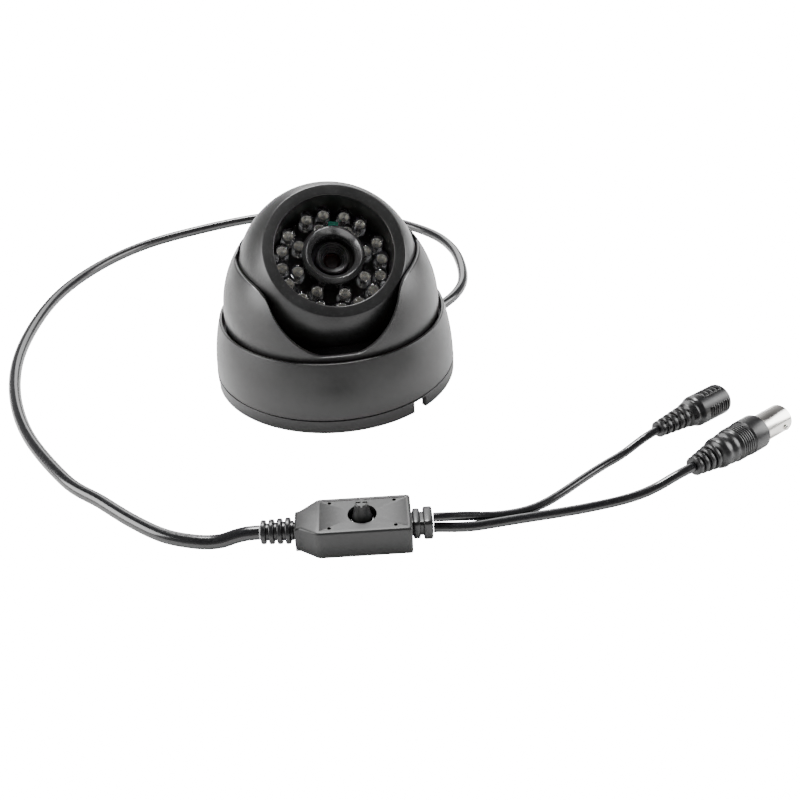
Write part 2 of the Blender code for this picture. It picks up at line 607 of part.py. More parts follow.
def make_box_reliefs(pivot):
    """Moulded reliefs at the two ends of the menu box: one for the cable, one for the leads."""
    along_box = Matrix.Translation((0, 0, CABLE_AXIS_HEIGHT * MM)) @ Matrix.Rotation(math.pi / 2, 4, "Y")
    axis = frame("cable_relief_axis", along_box, pivot)
    neck_end = -BOX_LENGTH / 2 - BOX_TAPER
    ribs = ribbed_outline(RELIEF_START, neck_end - GAP, 3.7, 4.2, 4, 1.1)
    outline = [(0, RELIEF_START)] + ribs + [(2.5, neck_end - GAP), (2.5, neck_end + 2.6), (0, neck_end + 2.6)]
    turned("cable_relief", outline[::-1], "soft_pvc", axis, SMALL_ROUND)
    right = BOX_LENGTH / 2
    relief = block("lead_relief", (right + GAP, -4.1, 1.1), (right + 2.6, 4.1, 7.9), "soft_pvc", pivot, 0.9)
    waist = block("waist", (right - 2.0, -3.3, 1.7), (LEAD_RELIEF_END - 1.0, 3.3, 7.1), "soft_pvc", pivot)
    flange = block("flange", (LEAD_RELIEF_END - 3.2, -4.4, 0.9), (LEAD_RELIEF_END, 4.4, 8.2), "soft_pvc", pivot, 1.1)
    bpy.context.view_layer.update()
    fuse(relief, waist, flange)


def plug_frame(name, entry, heading):
    """Frame whose Z axis runs along a plug, from the lead's entry to the open end."""
    direction = Vector((math.cos(math.radians(heading)), math.sin(math.radians(heading)), 0))
    turn = direction.to_track_quat("Z", "Y").to_matrix().to_4x4()
    return frame(name, Matrix.Translation(Vector(entry) * MM) @ turn)


def make_dc_socket(pivot):
    """Moulded power socket: ribbed relief, shoulder and barrel with its bore, and the centre pin."""
    relief_end = 13.6
    side = ribbed_outline(0, relief_end, 2.8, 4.1, 5, 0.7)
    body = [(4.3, relief_end + 0.4), (4.8, 16.2), (4.6, 16.9), (5.2, 17.6), (DC_RADIUS, 18.4),
            (DC_RADIUS, DC_LENGTH - 1.2), (DC_RADIUS - 0.9, DC_LENGTH), (3.1, DC_LENGTH), (2.75, DC_LENGTH - 0.4),
            (2.75, DC_LENGTH - 9.2), (0, DC_LENGTH - 9.2)]
    turned("dc_boot", ([(0, 0)] + side + body)[::-1], "soft_pvc", pivot, SMALL_ROUND)
    rod("dc_pin", 1.05, DC_LENGTH - 8.9, DC_LENGTH - 1.5, "nickel", pivot, segments=TINY_ROUND)


def make_bnc_socket(pivot):
    """Moulded video socket: ribbed boot, nickel barrel with two bayonet studs, and the centre contact."""
    relief_end = 10.0
    side = ribbed_outline(0, relief_end, 3.1, 4.6, 4, 0.8)
    bulges = [(5.0, 10.6), (5.5, 12.2), (5.1, 14.0), (5.65, 15.8), (5.35, 17.6), (5.85, 18.6),
              (5.95, 24.3), (BNC_SLEEVE_RADIUS, 24.9), (BNC_SLEEVE_RADIUS, BNC_BOOT_LENGTH)]
    floor = 27.2
    bore = BNC_BARREL_RADIUS + GAP
    socket = [(bore, BNC_BOOT_LENGTH), (bore, floor), (0, floor)]
    turned("bnc_boot", ([(0, 0)] + side + bulges + socket)[::-1], "soft_pvc", pivot, SMALL_ROUND)
    start = floor + GAP
    barrel = rod("bnc_barrel", BNC_BARREL_RADIUS, start, BNC_LENGTH, "nickel", pivot)
    studs = rod("studs", 1.0, -5.6, 5.6, "nickel", pivot, segments=TINY_ROUND)
    studs.data.transform(Matrix.Translation((0, 0, 42.2 * MM)) @ Matrix.Rotation(math.pi / 2, 4, "Y"))
    hollow = rod("hollow", 4.1, start + 2, BNC_LENGTH + 1, "nickel", pivot)
    bpy.context.view_layer.update()
    fuse(barrel, studs)
    cut(barrel, hollow)
    foot = start + 2 + GAP
    turned("bnc_contact", ((0, 43.4), (1.1, 43.4), (1.1, 40.8), (2.4, 40.8), (2.4, foot), (0, foot)),
           "brass", pivot, TINY_ROUND)


def make_cords():
    cord("main_cable", CABLE_ROUTE, CABLE_DIAMETER, CABLE_POINT_SPACING, "soft_pvc")
    cord("dc_lead", DC_LEAD_ROUTE, DC_LEAD_DIAMETER, LEAD_POINT_SPACING, "soft_pvc")
    cord("bnc_lead", BNC_LEAD_ROUTE, BNC_LEAD_DIAMETER, LEAD_POINT_SPACING, "soft_pvc")


def main():
    clear_scene()
    make_base_plate()
    make_grommet_and_inner_cable()
    make_drum_cover()
    make_retainer()

    turret = frame("turret_pivot", Matrix())
    make_turret_shell(turret)
    make_seat(turret)

    look = (Matrix.Translation((0, 0, BALL_CENTRE * MM))
            @ Matrix.Rotation(math.radians(FACE_AZIMUTH), 4, "Z")
            @ Matrix.Rotation(math.radians(90 - FACE_ELEVATION), 4, "X"))
    eyeball = frame("eyeball_pivot", look, turret)
    bpy.context.view_layer.update()
    make_eyeball(eyeball)
    module = frame("module_axis", Matrix.Rotation(math.radians(FACE_TWIST), 4, "Z"), eyeball)
    make_camera_module(module)
    make_lens(module)

    box_matrix = (Matrix.Translation((BOX_CENTRE[0] * MM, BOX_CENTRE[1] * MM, 0))
                  @ Matrix.Rotation(math.radians(BOX_TURN), 4, "Z"))
    box = frame("box_frame", box_matrix)
    make_menu_box(box)
    knob_axis = frame("joystick_pivot", Matrix.Translation((KNOB_OFFSET * MM, 0, 0)), box)
    make_joystick(knob_axis)
    make_box_reliefs(box)
    make_dc_socket(plug_frame("dc_frame", DC_ENTRY, DC_HEADING))
    make_bnc_socket(plug_frame("bnc_frame", BNC_ENTRY, BNC_HEADING))
    make_cords()
    bpy.context.view_layer.update()


main()
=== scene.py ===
"""Looks of the turret dome camera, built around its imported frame.

Lengths in the shape functions are millimetres; MM turns them into metres when a mesh is made.
"""

import math

import bmesh
import bpy
import numpy as np
from bpy.props import FloatProperty, FloatVectorProperty, IntProperty, PointerProperty
from mathutils import Matrix, Vector


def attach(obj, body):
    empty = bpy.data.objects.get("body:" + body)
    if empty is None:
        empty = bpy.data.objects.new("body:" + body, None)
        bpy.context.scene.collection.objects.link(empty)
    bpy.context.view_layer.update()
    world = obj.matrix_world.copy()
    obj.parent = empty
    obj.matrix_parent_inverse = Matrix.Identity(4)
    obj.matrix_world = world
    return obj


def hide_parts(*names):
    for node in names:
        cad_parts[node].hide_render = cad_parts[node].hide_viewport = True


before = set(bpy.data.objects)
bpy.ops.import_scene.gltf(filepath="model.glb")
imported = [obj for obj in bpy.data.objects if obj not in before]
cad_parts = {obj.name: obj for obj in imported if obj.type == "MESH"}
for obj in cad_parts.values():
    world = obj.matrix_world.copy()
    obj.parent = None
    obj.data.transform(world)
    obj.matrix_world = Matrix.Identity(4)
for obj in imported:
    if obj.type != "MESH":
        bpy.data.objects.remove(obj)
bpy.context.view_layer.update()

bl_info = {
    "name": "Turret dome camera",
    "version": (1, 0, 0),
    "blender": (4, 5, 0),
    "location": "View3D > Sidebar > Dome camera",
    "description": "Builds the finished surfaces of a turret dome camera around its frame",
    "category": "Object",
}

MM = 0.001
MERGE = 0.0000002
WELD = 0.000003
GAP = 0.3
MESH_CREASE = 38
CARVED_CREASE = 32
GRAIN_DEPTH = 0.0001
TURN = math.tau

BASE_RADIUS = 47.0
NOTCH_AZIMUTHS = (36.2, 156.2, 276.2)
CABLE_AZIMUTH = 125.5
POST_AZIMUTHS = (5.0, 95.0, 245.0)
FIXING_AZIMUTHS = (12.0, 102.0, 222.0)
DRUM_TOP = 26.93
DRUM_TOP_RADIUS = 43.3
DRUM_WALL = 1.7
TURRET_CENTRE = 28.64
TURRET_RADIUS = 41.25
TURRET_INNER = 39.3
TURRET_TOP = 53.6
TURRET_SIDES = 540
TURRET_LIP = 0.22
TURRET_HOLLOW_TOP = 48.09
SCOOP_CENTRE = 51.7
SCOOP_RADIUS = 24.0
SCOOP_SHIFT = 0.6
SCOOP_BOWL = 23.3
FLARE_X = (23.3, 23.55, 24.0, 24.7, 25.4, 26.4, 27.6, 30.2, 33.0, 36.0, 45.0)
FLARE_Z = (45.9, 46.5, 47.1, 47.75, 48.3, 48.9, 49.4, 50.2, 51.0, 52.2, 53.7)
BALL_CENTRE = 40.65
BALL_RADIUS = 34.6
BALL_ROOM = 34.95
BALL_INNER = 32.8
BALL_SPLIT = -14.1
BALL_BACK = -27.2
FACE_AZIMUTH = 6.6
FACE_ELEVATION = 47.6
FACE_TWIST = -13.5
FACE_HEIGHT = 23.25
FACE_WINDOW = 21.5
BOARD_TOP = 7.5
BOARD_BOTTOM = 5.9
CELL_CIRCLE = 14.8
LAMP_RADIUS = 2.5
LAMP_SHOULDER = 6.1
OUTER_LAMPS = (12.0, 32.5, 62.0, 82.5, 103.0, 123.5, 146.0, 168.0)
INNER_LAMPS = (22.5, 67.5, 112.5, 157.5)
LAMP_SEATS = ([(18.5, side * a) for a in OUTER_LAMPS for side in (1, -1)]
              + [(13.3, side * a) for a in INNER_LAMPS for side in (1, -1)])
BOX_CENTRE = (-1.2, -104.5)
BOX_TURN = -5.8
BOX_LENGTH = 28.8
BOX_WIDTH = 16.8
BOX_HEIGHT = 9.8
BOX_TAPER = 7.3
BOX_NECK = 8.8
KNOB_OFFSET = -0.7
RELIEF_HEIGHT = 4.7
DC_ENTRY = (104.6, -75.3, 5.9)
DC_HEADING = 26.0
DC_LENGTH = 32.6
BNC_ENTRY = (108.1, -97.8, 6.2)
BNC_HEADING = 27.0
BNC_BOOT = 31.8
BNC_LENGTH = 45.4
BNC_FLOOR = 27.2
BNC_STUDS = 42.2
DC_LEAD_THICK = 2.9
BNC_LEAD_THICK = 3.2
CABLE_SPACING = 2.0
LEAD_SPACING = 1.2

EYE_PLACE = (-0.01857, -0.33104, 0.20104)
EYE_LENS = 43.2
EYE_PITCH, EYE_YAW, EYE_ROLL = (math.radians(angle) for angle in (33.49, 7.51, -2.38))
FLOOR_REACH = 4.0
FLOOR_LEVEL = -0.0002
LIGHT_TARGET = (0, 0, 0.03)

CABLE_ROUTE = (
    (39.0, 27.8, 2.33), (43.9, 31.4, 2.33), (49.2, 36.4, 2.33), (57.9, 46.2, 2.33),
    (64.0, 58.5, 2.33), (66.9, 76.0, 2.33), (66.4, 95.0, 2.33), (60.5, 113.0, 2.33),
    (46.5, 131.0, 2.33), (26.0, 148.5, 2.33), (0.0, 157.0, 2.33), (-28.0, 155.5, 2.33),
    (-56.0, 147.5, 2.33), (-84.0, 134.0, 2.33), (-106.0, 112.0, 2.33), (-121.5, 82.0, 2.33),
    (-128.4, 43.0, 2.33), (-126.6, 8.0, 2.33), (-116.5, -26.5, 2.33), (-98.5, -58.5, 2.33),
    (-85.1, -73.0, 2.33), (-74.0, -85.0, 2.33), (-63.5, -94.2, 2.33), (-53.5, -99.0, 2.33),
    (-46.5, -100.4, 2.5), (-41.5, -100.6, 3.8), (-37.6, -100.85, 4.6), (-33.68, -101.21, 4.7),
)
DC_LEAD_ROUTE = (
    (19.94, -106.2, 6.2), (22.9, -106.4, 6.05), (26.4, -105.9, 5.2), (32.2, -104.8, 3.5),
    (38.1, -104.0, 1.85), (44.8, -103.9, 1.5), (51.1, -103.1, 1.5), (57.2, -100.9, 1.5),
    (63.8, -97.2, 1.5), (74.3, -90.4, 1.5), (82.3, -85.5, 1.5), (90.0, -81.6, 2.0),
    (97.2, -78.4, 4.2), (100.8, -77.0, 5.3), (104.33, -75.43, 5.9),
)
BNC_LEAD_ROUTE = (
    (19.85, -107.1, 2.9), (22.9, -107.6, 2.85), (26.4, -108.0, 2.6), (32.2, -107.9, 1.9),
    (39.3, -107.4, 1.65), (44.8, -107.1, 1.65), (50.1, -106.9, 1.65), (61.0, -106.5, 1.65),
    (70.0, -105.9, 1.65), (80.8, -104.6, 1.65), (88.7, -103.0, 1.9), (95.0, -101.5, 3.0),
    (100.9, -100.3, 5.2), (104.5, -99.25, 6.0), (107.83, -97.94, 6.2),
)


# Shapes

def fillet(corners, steps=6):
    """Profile of (a, b, size) corners: each corner becomes a quadratic Bezier curve that leaves its
    two sides at a distance of size, or under half a side; a size of 0 keeps the corner."""
    points = np.array([corner[:2] for corner in corners], dtype=float)
    sizes = np.array([corner[2] if len(corner) > 2 else 0.0 for corner in corners])
    out = []
    for index, point in enumerate(points):
        before = points[index - 1] - point
        after = points[(index + 1) % len(points)] - point
        reach = min(sizes[index], 0.45 * np.linalg.norm(before), 0.45 * np.linalg.norm(after))
        if reach < 0.001:
            out.append(point[None])
            continue
        start = point + before / np.linalg.norm(before) * reach
        end = point + after / np.linalg.norm(after) * reach
        t = np.linspace(0, 1, steps)[:, None]
        out.append((1 - t) ** 2 * start + 2 * t * (1 - t) * point + t ** 2 * end)
    return np.vstack(out)


def arc(centre, radius, start, end, steps):
    """Points on a circle of the profile plane: centre height plus radius at angles from start to end."""
    angle = np.radians(np.linspace(start, end, steps))
    return np.column_stack((radius * np.cos(angle), centre + radius * np.sin(angle)))


def sphere_band(centre, radius, low, high, steps):
    """Part of a sphere's profile between two heights."""
    start, end = np.degrees(np.arcsin(np.clip((np.array([low, high]) - centre) / radius, -1, 1)))
    return arc(centre, radius, start, end, steps)


def turned_points(profile, segments):
    """Surface of revolution: at angle u, profile point v is (r cos u, r sin u, h)."""
    angle = np.arange(segments) * TURN / segments
    r, h = np.asarray(profile, dtype=float).T
    return np.stack((np.cos(angle)[:, None] * r, np.sin(angle)[:, None] * r,
                     np.broadcast_to(h, (segments, len(h)))), axis=-1)


def welded(mesh, distance, crease, outward=False):
    """The mesh with close points merged, faces turned outward if asked, and smooth up to a crease."""
    bm = bmesh.new()
    bm.from_mesh(mesh)
    bmesh.ops.remove_doubles(bm, verts=bm.verts, dist=distance)
    bmesh.ops.dissolve_degenerate(bm, edges=bm.edges, dist=distance)
    if outward:
        bmesh.ops.recalc_face_normals(bm, faces=bm.faces)
    bm.to_mesh(mesh)
    bm.free()
    mesh.shade_smooth()
    mesh.set_sharp_from_angle(angle=math.radians(crease))
    return mesh


def placed(name, data):
    item = bpy.data.objects.new(name, data)
    bpy.context.scene.collection.objects.link(item)
    return item


def grid_mesh(name, points, matrix=None, close_rows=True, close_columns=True):
    """Mesh of quads over a grid of points, wrapped both ways, with seams and poles merged."""
    points = np.asarray(points, dtype=float)
    rows, columns = points.shape[:2]
    flat = points.reshape(-1, 3)
    if matrix is not None:
        turn = np.array(matrix)
        flat = flat @ turn[:3, :3].T + turn[:3, 3] / MM
    index = np.arange(rows * columns).reshape(rows, columns)
    if close_rows:
        index = np.vstack((index, index[:1]))
    if close_columns:
        index = np.hstack((index, index[:, :1]))
    quads = np.stack((index[:-1, :-1], index[1:, :-1], index[1:, 1:], index[:-1, 1:]), axis=-1)
    mesh = bpy.data.meshes.new(name)
    mesh.from_pydata(flat * MM, [], quads.reshape(-1, 4))
    return welded(mesh, MERGE, MESH_CREASE, outward=True)


def turned_mesh(name, profile, segments=128, matrix=None):
    return grid_mesh(name, turned_points(profile, segments), matrix)


def around(azimuth, radius):
    angle = math.radians(azimuth)
    return radius * math.sin(angle), -radius * math.cos(angle)


def drum_radius(height):
    """The drum narrows upwards: radius = base - drop * (height / top) to the power 2.3."""
    return BASE_RADIUS - (BASE_RADIUS - DRUM_TOP_RADIUS) * (height / DRUM_TOP) ** 2.3


def scoop_height(x):
    """Height of the scoop's edge at a distance x from its middle: a round bowl, then a flaring side."""
    side = np.abs(x + SCOOP_SHIFT)
    bowl = SCOOP_CENTRE - np.sqrt(np.clip(SCOOP_RADIUS ** 2 - side ** 2, 0, None))
    return np.where(side < SCOOP_BOWL, bowl, np.interp(side, FLARE_X, FLARE_Z))


def shell_edge(radius_of, azimuths, start):
    """Height at which a shell whose radius follows height first meets the scoop's edge or the collar."""
    heights = np.linspace(start, TURRET_TOP, 1600)
    radii = radius_of(heights)
    x = np.sin(azimuths)[:, None] * radii
    inside = (heights >= scoop_height(x)) & (np.cos(azimuths) > 0)[:, None]
    inside[:, -1] = True
    return heights[np.argmax(inside, axis=1)]


def turret_points():
    """Shell between two height profiles: at azimuth a and height z a wall stands at (r sin a, -r cos a);
    its top follows the scoop's edge in front and the level collar elsewhere."""
    azimuth = np.arange(TURRET_SIDES) * TURN / TURRET_SIDES
    weights = np.array([0.25, 0.5, 0.25])

    def outer(z):
        return np.sqrt(TURRET_RADIUS ** 2 - (z - TURRET_CENTRE) ** 2)

    def inner(z):
        hollow = np.sqrt(TURRET_INNER ** 2 - np.clip(z - TURRET_CENTRE, 0, None) ** 2)
        room = np.sqrt(BALL_ROOM ** 2 - (z - BALL_CENTRE) ** 2)
        return np.where(z < TURRET_HOLLOW_TOP, hollow, np.maximum(room, hollow))

    top_out = shell_edge(outer, azimuth, 28.7)
    top_in = shell_edge(inner, azimuth, 28.7)
    for _ in range(6):
        top_out = np.convolve(np.concatenate((top_out[-1:], top_out, top_out[:1])), weights, "valid")
        top_in = np.convolve(np.concatenate((top_in[-1:], top_in, top_in[:1])), weights, "valid")
    rise = np.linspace(0, 1, 40)[:, None]
    out_z = TURRET_CENTRE + rise * (top_out - TURRET_LIP - TURRET_CENTRE)
    in_z = (TURRET_CENTRE + rise * (top_in - TURRET_LIP - TURRET_CENTRE))[::-1]
    out_r = outer(out_z)
    in_r = inner(in_z)
    s = np.linspace(0, 1, 9)[1:-1, None]
    lip_r = out_r[-1] + (in_r[0] - out_r[-1]) * s
    lip_z = out_z[-1] + (in_z[0] - out_z[-1]) * s + TURRET_LIP * np.sqrt(1 - (2 * s - 1) ** 2)
    foot = fillet([(TURRET_INNER, 19.9, 0.2), (42.7, 19.9, 0.3), (42.7, 21.7, 0.3),
                   (TURRET_RADIUS, 21.7, 0)])
    foot_r = np.broadcast_to(foot[:, :1], (len(foot), len(azimuth)))
    foot_z = np.broadcast_to(foot[:, 1:], (len(foot), len(azimuth)))
    r = np.vstack((foot_r, out_r, lip_r, in_r))
    z = np.vstack((foot_z, out_z, lip_z, in_z))
    return np.stack((r * np.sin(azimuth), -r * np.cos(azimuth), z), axis=-1).transpose(1, 0, 2)


def eyeball_profile():
    """Front of the ball: sphere, bezel with rounded edges, recess wall, and the inner sphere back."""
    edge = math.sqrt(BALL_RADIUS ** 2 - FACE_HEIGHT ** 2)
    outer = sphere_band(0, BALL_RADIUS, BALL_SPLIT + GAP, FACE_HEIGHT - 0.35, 72)
    face = fillet([(outer[-1][0], outer[-1][1]), (edge - 0.12, FACE_HEIGHT, 0.35),
                   (FACE_WINDOW, FACE_HEIGHT, 0.5), (FACE_WINDOW, 5.6, 0.2), (23.1, 5.6, 0.2),
                   (23.1, 21.4, 0)])[1:]
    inner = sphere_band(0, BALL_INNER, BALL_SPLIT + GAP, 21.4, 48)[::-1]
    return np.vstack((outer, face, inner))


def ribs(start, end, first, last, count, groove, land=0.6):
    """Side of a strain relief: each rib is a rounded land followed by a groove, on a straight taper."""
    pitch = (end - start) / count
    corners = []
    for rib in range(count):
        low = start + rib * pitch
        radius = first + (last - first) * (rib + 0.5) / count
        corners += [(radius, low, 0.55), (radius, low + land * pitch, 0.55),
                    (radius - groove, low + land * pitch + 0.12, 0.12),
                    (radius - groove, low + pitch - 0.12, 0.12)]
    return corners


def box_plan(shrink, corner=1.1):
    """Plan of the menu box: a rectangle whose cable end tapers to a neck, with rounded corners."""
    right = BOX_LENGTH / 2 - shrink
    side = BOX_WIDTH / 2 - shrink
    neck = BOX_NECK / 2 - shrink
    left = -BOX_LENGTH / 2
    end = left - BOX_TAPER + shrink
    half = [(right, side, corner), (left, side, 1.0), (end + 1.4, neck, 0.6), (end, neck, 0.3)]
    other = [(x, -y, size) for x, y, size in reversed(half)]
    return fillet(half + other, 9)


def box_points(shrink, low, high, edge):
    """Box of the plan's outline: straight sides that roll over a quarter ellipse into the top, which
    slopes down along the tapered end, and close at a middle line."""
    roll = np.radians(np.linspace(0, 90, 8))
    insets = np.concatenate(([0.0], edge * (1 - np.cos(roll))))
    heights = np.concatenate(([low], high - edge * (1 - np.sin(roll))))
    loops = []
    for inset, height in zip(insets, heights):
        plan = box_plan(shrink + inset)
        slope = np.clip((-BOX_LENGTH / 2 - plan[:, 0]) / BOX_TAPER, 0, 1) ** 1.5 if height > low else 0
        loops.append(np.column_stack((plan, np.full(len(plan), height) - 1.1 * slope)))
    top = loops[-1]
    along = np.clip(top[:, 0], -BOX_LENGTH / 2, 11)
    spine = np.column_stack((along, np.zeros(len(top)), np.full(len(top), high)))
    base = spine.copy()
    base[:, 2] = low
    return np.stack([base] + loops + [spine])


def smooth_route(route, spacing):
    """Catmull-Rom curve through the route's points, read at an even spacing."""
    p = np.array(route, dtype=float)
    p = np.vstack((2 * p[0] - p[1], p, 2 * p[-1] - p[-2]))
    t = np.linspace(0, 1, 24, endpoint=False)[None, :, None]
    a, b, c, d = (p[i:len(p) - 3 + i][:, None] for i in range(4))
    cubic = 3 * b - a - 3 * c + d
    fine = 0.5 * (2 * b + (c - a) * t + (2 * a - 5 * b + 4 * c - d) * t ** 2 + cubic * t ** 3)
    fine = np.vstack((fine.reshape(-1, 3), p[-2]))
    along = np.concatenate(([0], np.cumsum(np.linalg.norm(np.diff(fine, axis=0), axis=1))))
    reads = np.linspace(0, along[-1], max(2, int(round(along[-1] / spacing)) + 1))
    return np.column_stack([np.interp(reads, along, fine[:, k]) for k in range(3)]), along[-1]


# Frames of the turned groups

LOOK = (Matrix.Translation((0, 0, BALL_CENTRE * MM)) @ Matrix.Rotation(math.radians(FACE_AZIMUTH), 4, "Z")
        @ Matrix.Rotation(math.radians(90 - FACE_ELEVATION), 4, "X"))
MODULE = LOOK @ Matrix.Rotation(math.radians(FACE_TWIST), 4, "Z")
BOX = (Matrix.Translation((BOX_CENTRE[0] * MM, BOX_CENTRE[1] * MM, 0))
       @ Matrix.Rotation(math.radians(BOX_TURN), 4, "Z"))
KNOB = BOX @ Matrix.Translation((KNOB_OFFSET * MM, 0, 0))
RELIEF = BOX @ Matrix.Translation((0, 0, RELIEF_HEIGHT * MM)) @ Matrix.Rotation(math.pi / 2, 4, "Y")


def plug_matrix(entry, heading):
    """Frame whose Z axis runs along a plug and whose X axis points up."""
    angle = math.radians(heading)
    z = Vector((math.cos(angle), math.sin(angle), 0))
    x = Vector((0, 0, 1))
    y = z.cross(x)
    turn = Matrix((x, y, z)).transposed().to_4x4()
    return Matrix.Translation(Vector(entry) * MM) @ turn


DC = plug_matrix(DC_ENTRY, DC_HEADING)
BNC = plug_matrix(BNC_ENTRY, BNC_HEADING)


def offset(matrix, x, y):
    return matrix @ Matrix.Translation((x * MM, y * MM, 0))


# Node groups and materials

def group(name, inputs, outputs):
    tree = bpy.data.node_groups.new(name, "ShaderNodeTree")
    for title, default in inputs:
        socket = tree.interface.new_socket(title, in_out="INPUT", socket_type="NodeSocketFloat")
        socket.default_value = default
    for title, kind in outputs:
        tree.interface.new_socket(title, in_out="OUTPUT", socket_type=kind)
    return tree, tree.nodes.new("NodeGroupInput"), tree.nodes.new("NodeGroupOutput")


def noise(tree, vector, scale, detail=3.0, roughness=0.5):
    node = tree.nodes.new("ShaderNodeTexNoise")
    node.inputs["Detail"].default_value = detail
    node.inputs["Roughness"].default_value = roughness
    tree.links.new(vector, node.inputs["Vector"])
    if isinstance(scale, (int, float)):
        node.inputs["Scale"].default_value = scale
    else:
        tree.links.new(scale, node.inputs["Scale"])
    return node.outputs["Fac"]


def remap(tree, value, low, high, to_low=0.0, to_high=1.0):
    node = tree.nodes.new("ShaderNodeMapRange")
    for socket, number in zip(node.inputs[1:5], (low, high, to_low, to_high)):
        socket.default_value = number
    tree.links.new(value, node.inputs[0])
    return node.outputs[0]


def math_node(tree, operation, first, second):
    node = tree.nodes.new("ShaderNodeMath")
    node.operation = operation
    for socket, value in zip(node.inputs, (first, second)):
        if isinstance(value, (int, float)):
            socket.default_value = value
        else:
            tree.links.new(value, socket)
    return node.outputs[0]


def moulded_grain():
    """Spark-eroded mould grain: two sizes of noise for the height, and a broad one for the sheen."""
    tree, inside, outside = group("Moulded grain", (("Grain scale", 3200.0), ("Patch scale", 60.0)),
                                  (("Height", "NodeSocketFloat"), ("Patches", "NodeSocketFloat")))
    place = tree.nodes.new("ShaderNodeTexCoord").outputs["Object"]
    fine = noise(tree, place, inside.outputs["Grain scale"], 2.0, 0.6)
    broad = noise(tree, place, inside.outputs["Patch scale"], 5.0, 0.6)
    wave = noise(tree, place, 420.0, 2.0)
    height = math_node(tree, "ADD", fine, math_node(tree, "MULTIPLY", wave, 0.5))
    tree.links.new(height, outside.inputs["Height"])
    tree.links.new(broad, outside.inputs["Patches"])
    return tree


def settled_dust():
    """Dust on faces that look up: the normal's height times a speckled noise."""
    tree, inside, outside = group("Settled dust", (("Amount", 0.3),), (("Mask", "NodeSocketFloat"),))
    up = tree.nodes.new("ShaderNodeSeparateXYZ")
    tree.links.new(tree.nodes.new("ShaderNodeNewGeometry").outputs["Normal"], up.inputs[0])
    place = tree.nodes.new("ShaderNodeTexCoord").outputs["Object"]
    speckle = remap(tree, noise(tree, place, 900.0, 6.0, 0.75), 0.54, 0.72)
    facing = remap(tree, up.outputs["Z"], 0.2, 1.0)
    mask = math_node(tree, "MULTIPLY", math_node(tree, "MULTIPLY", speckle, facing),
                     inside.outputs["Amount"])
    tree.links.new(mask, outside.inputs["Mask"])
    return tree


def handling_marks():
    """Faint rubbed streaks: noise stretched along one axis, kept to a few thin lines."""
    tree, inside, outside = group("Handling marks", (("Density", 0.6),), (("Marks", "NodeSocketFloat"),))
    place = tree.nodes.new("ShaderNodeTexCoord").outputs["Object"]
    stretch = tree.nodes.new("ShaderNodeMapping")
    stretch.inputs["Scale"].default_value = (60, 900, 900)
    stretch.inputs["Rotation"].default_value = (0.4, 0.3, 0.9)
    tree.links.new(place, stretch.inputs["Vector"])
    lines = remap(tree, noise(tree, stretch.outputs[0], 1.0, 2.0, 0.4), 0.66, 0.78)
    where = remap(tree, noise(tree, place, 45.0, 2.0), 0.5, 0.65)
    marks = math_node(tree, "MULTIPLY", math_node(tree, "MULTIPLY", lines, where), inside.outputs["Density"])
    tree.links.new(marks, outside.inputs["Marks"])
    return tree


GROUPS = {}


def use_group(tree, builder, **values):
    if builder.__name__ not in GROUPS:
        GROUPS[builder.__name__] = builder()
    node = tree.nodes.new("ShaderNodeGroup")
    node.node_tree = GROUPS[builder.__name__]
    for title, value in values.items():
        node.inputs[title.replace("_", " ").capitalize()].default_value = value
    return node


def mix_colour(tree, mask, first, second):
    node = tree.nodes.new("ShaderNodeMix")
    node.data_type = "RGBA"
    tree.links.new(mask, node.inputs["Factor"])
    for socket, value in ((node.inputs[6], first), (node.inputs[7], second)):
        if isinstance(value, tuple):
            socket.default_value = (*value, 1.0)
        else:
            tree.links.new(value, socket)
    return node.outputs[2]


def look(dark, light, rough, grain, depth, dust, marks, **more):
    """Finish: two colours, the range of roughness, the grain's scale and depth, dust and marks."""
    return dict(dark=dark, light=light, rough=rough, grain=grain, depth=depth, dust=dust, marks=marks,
                **more)


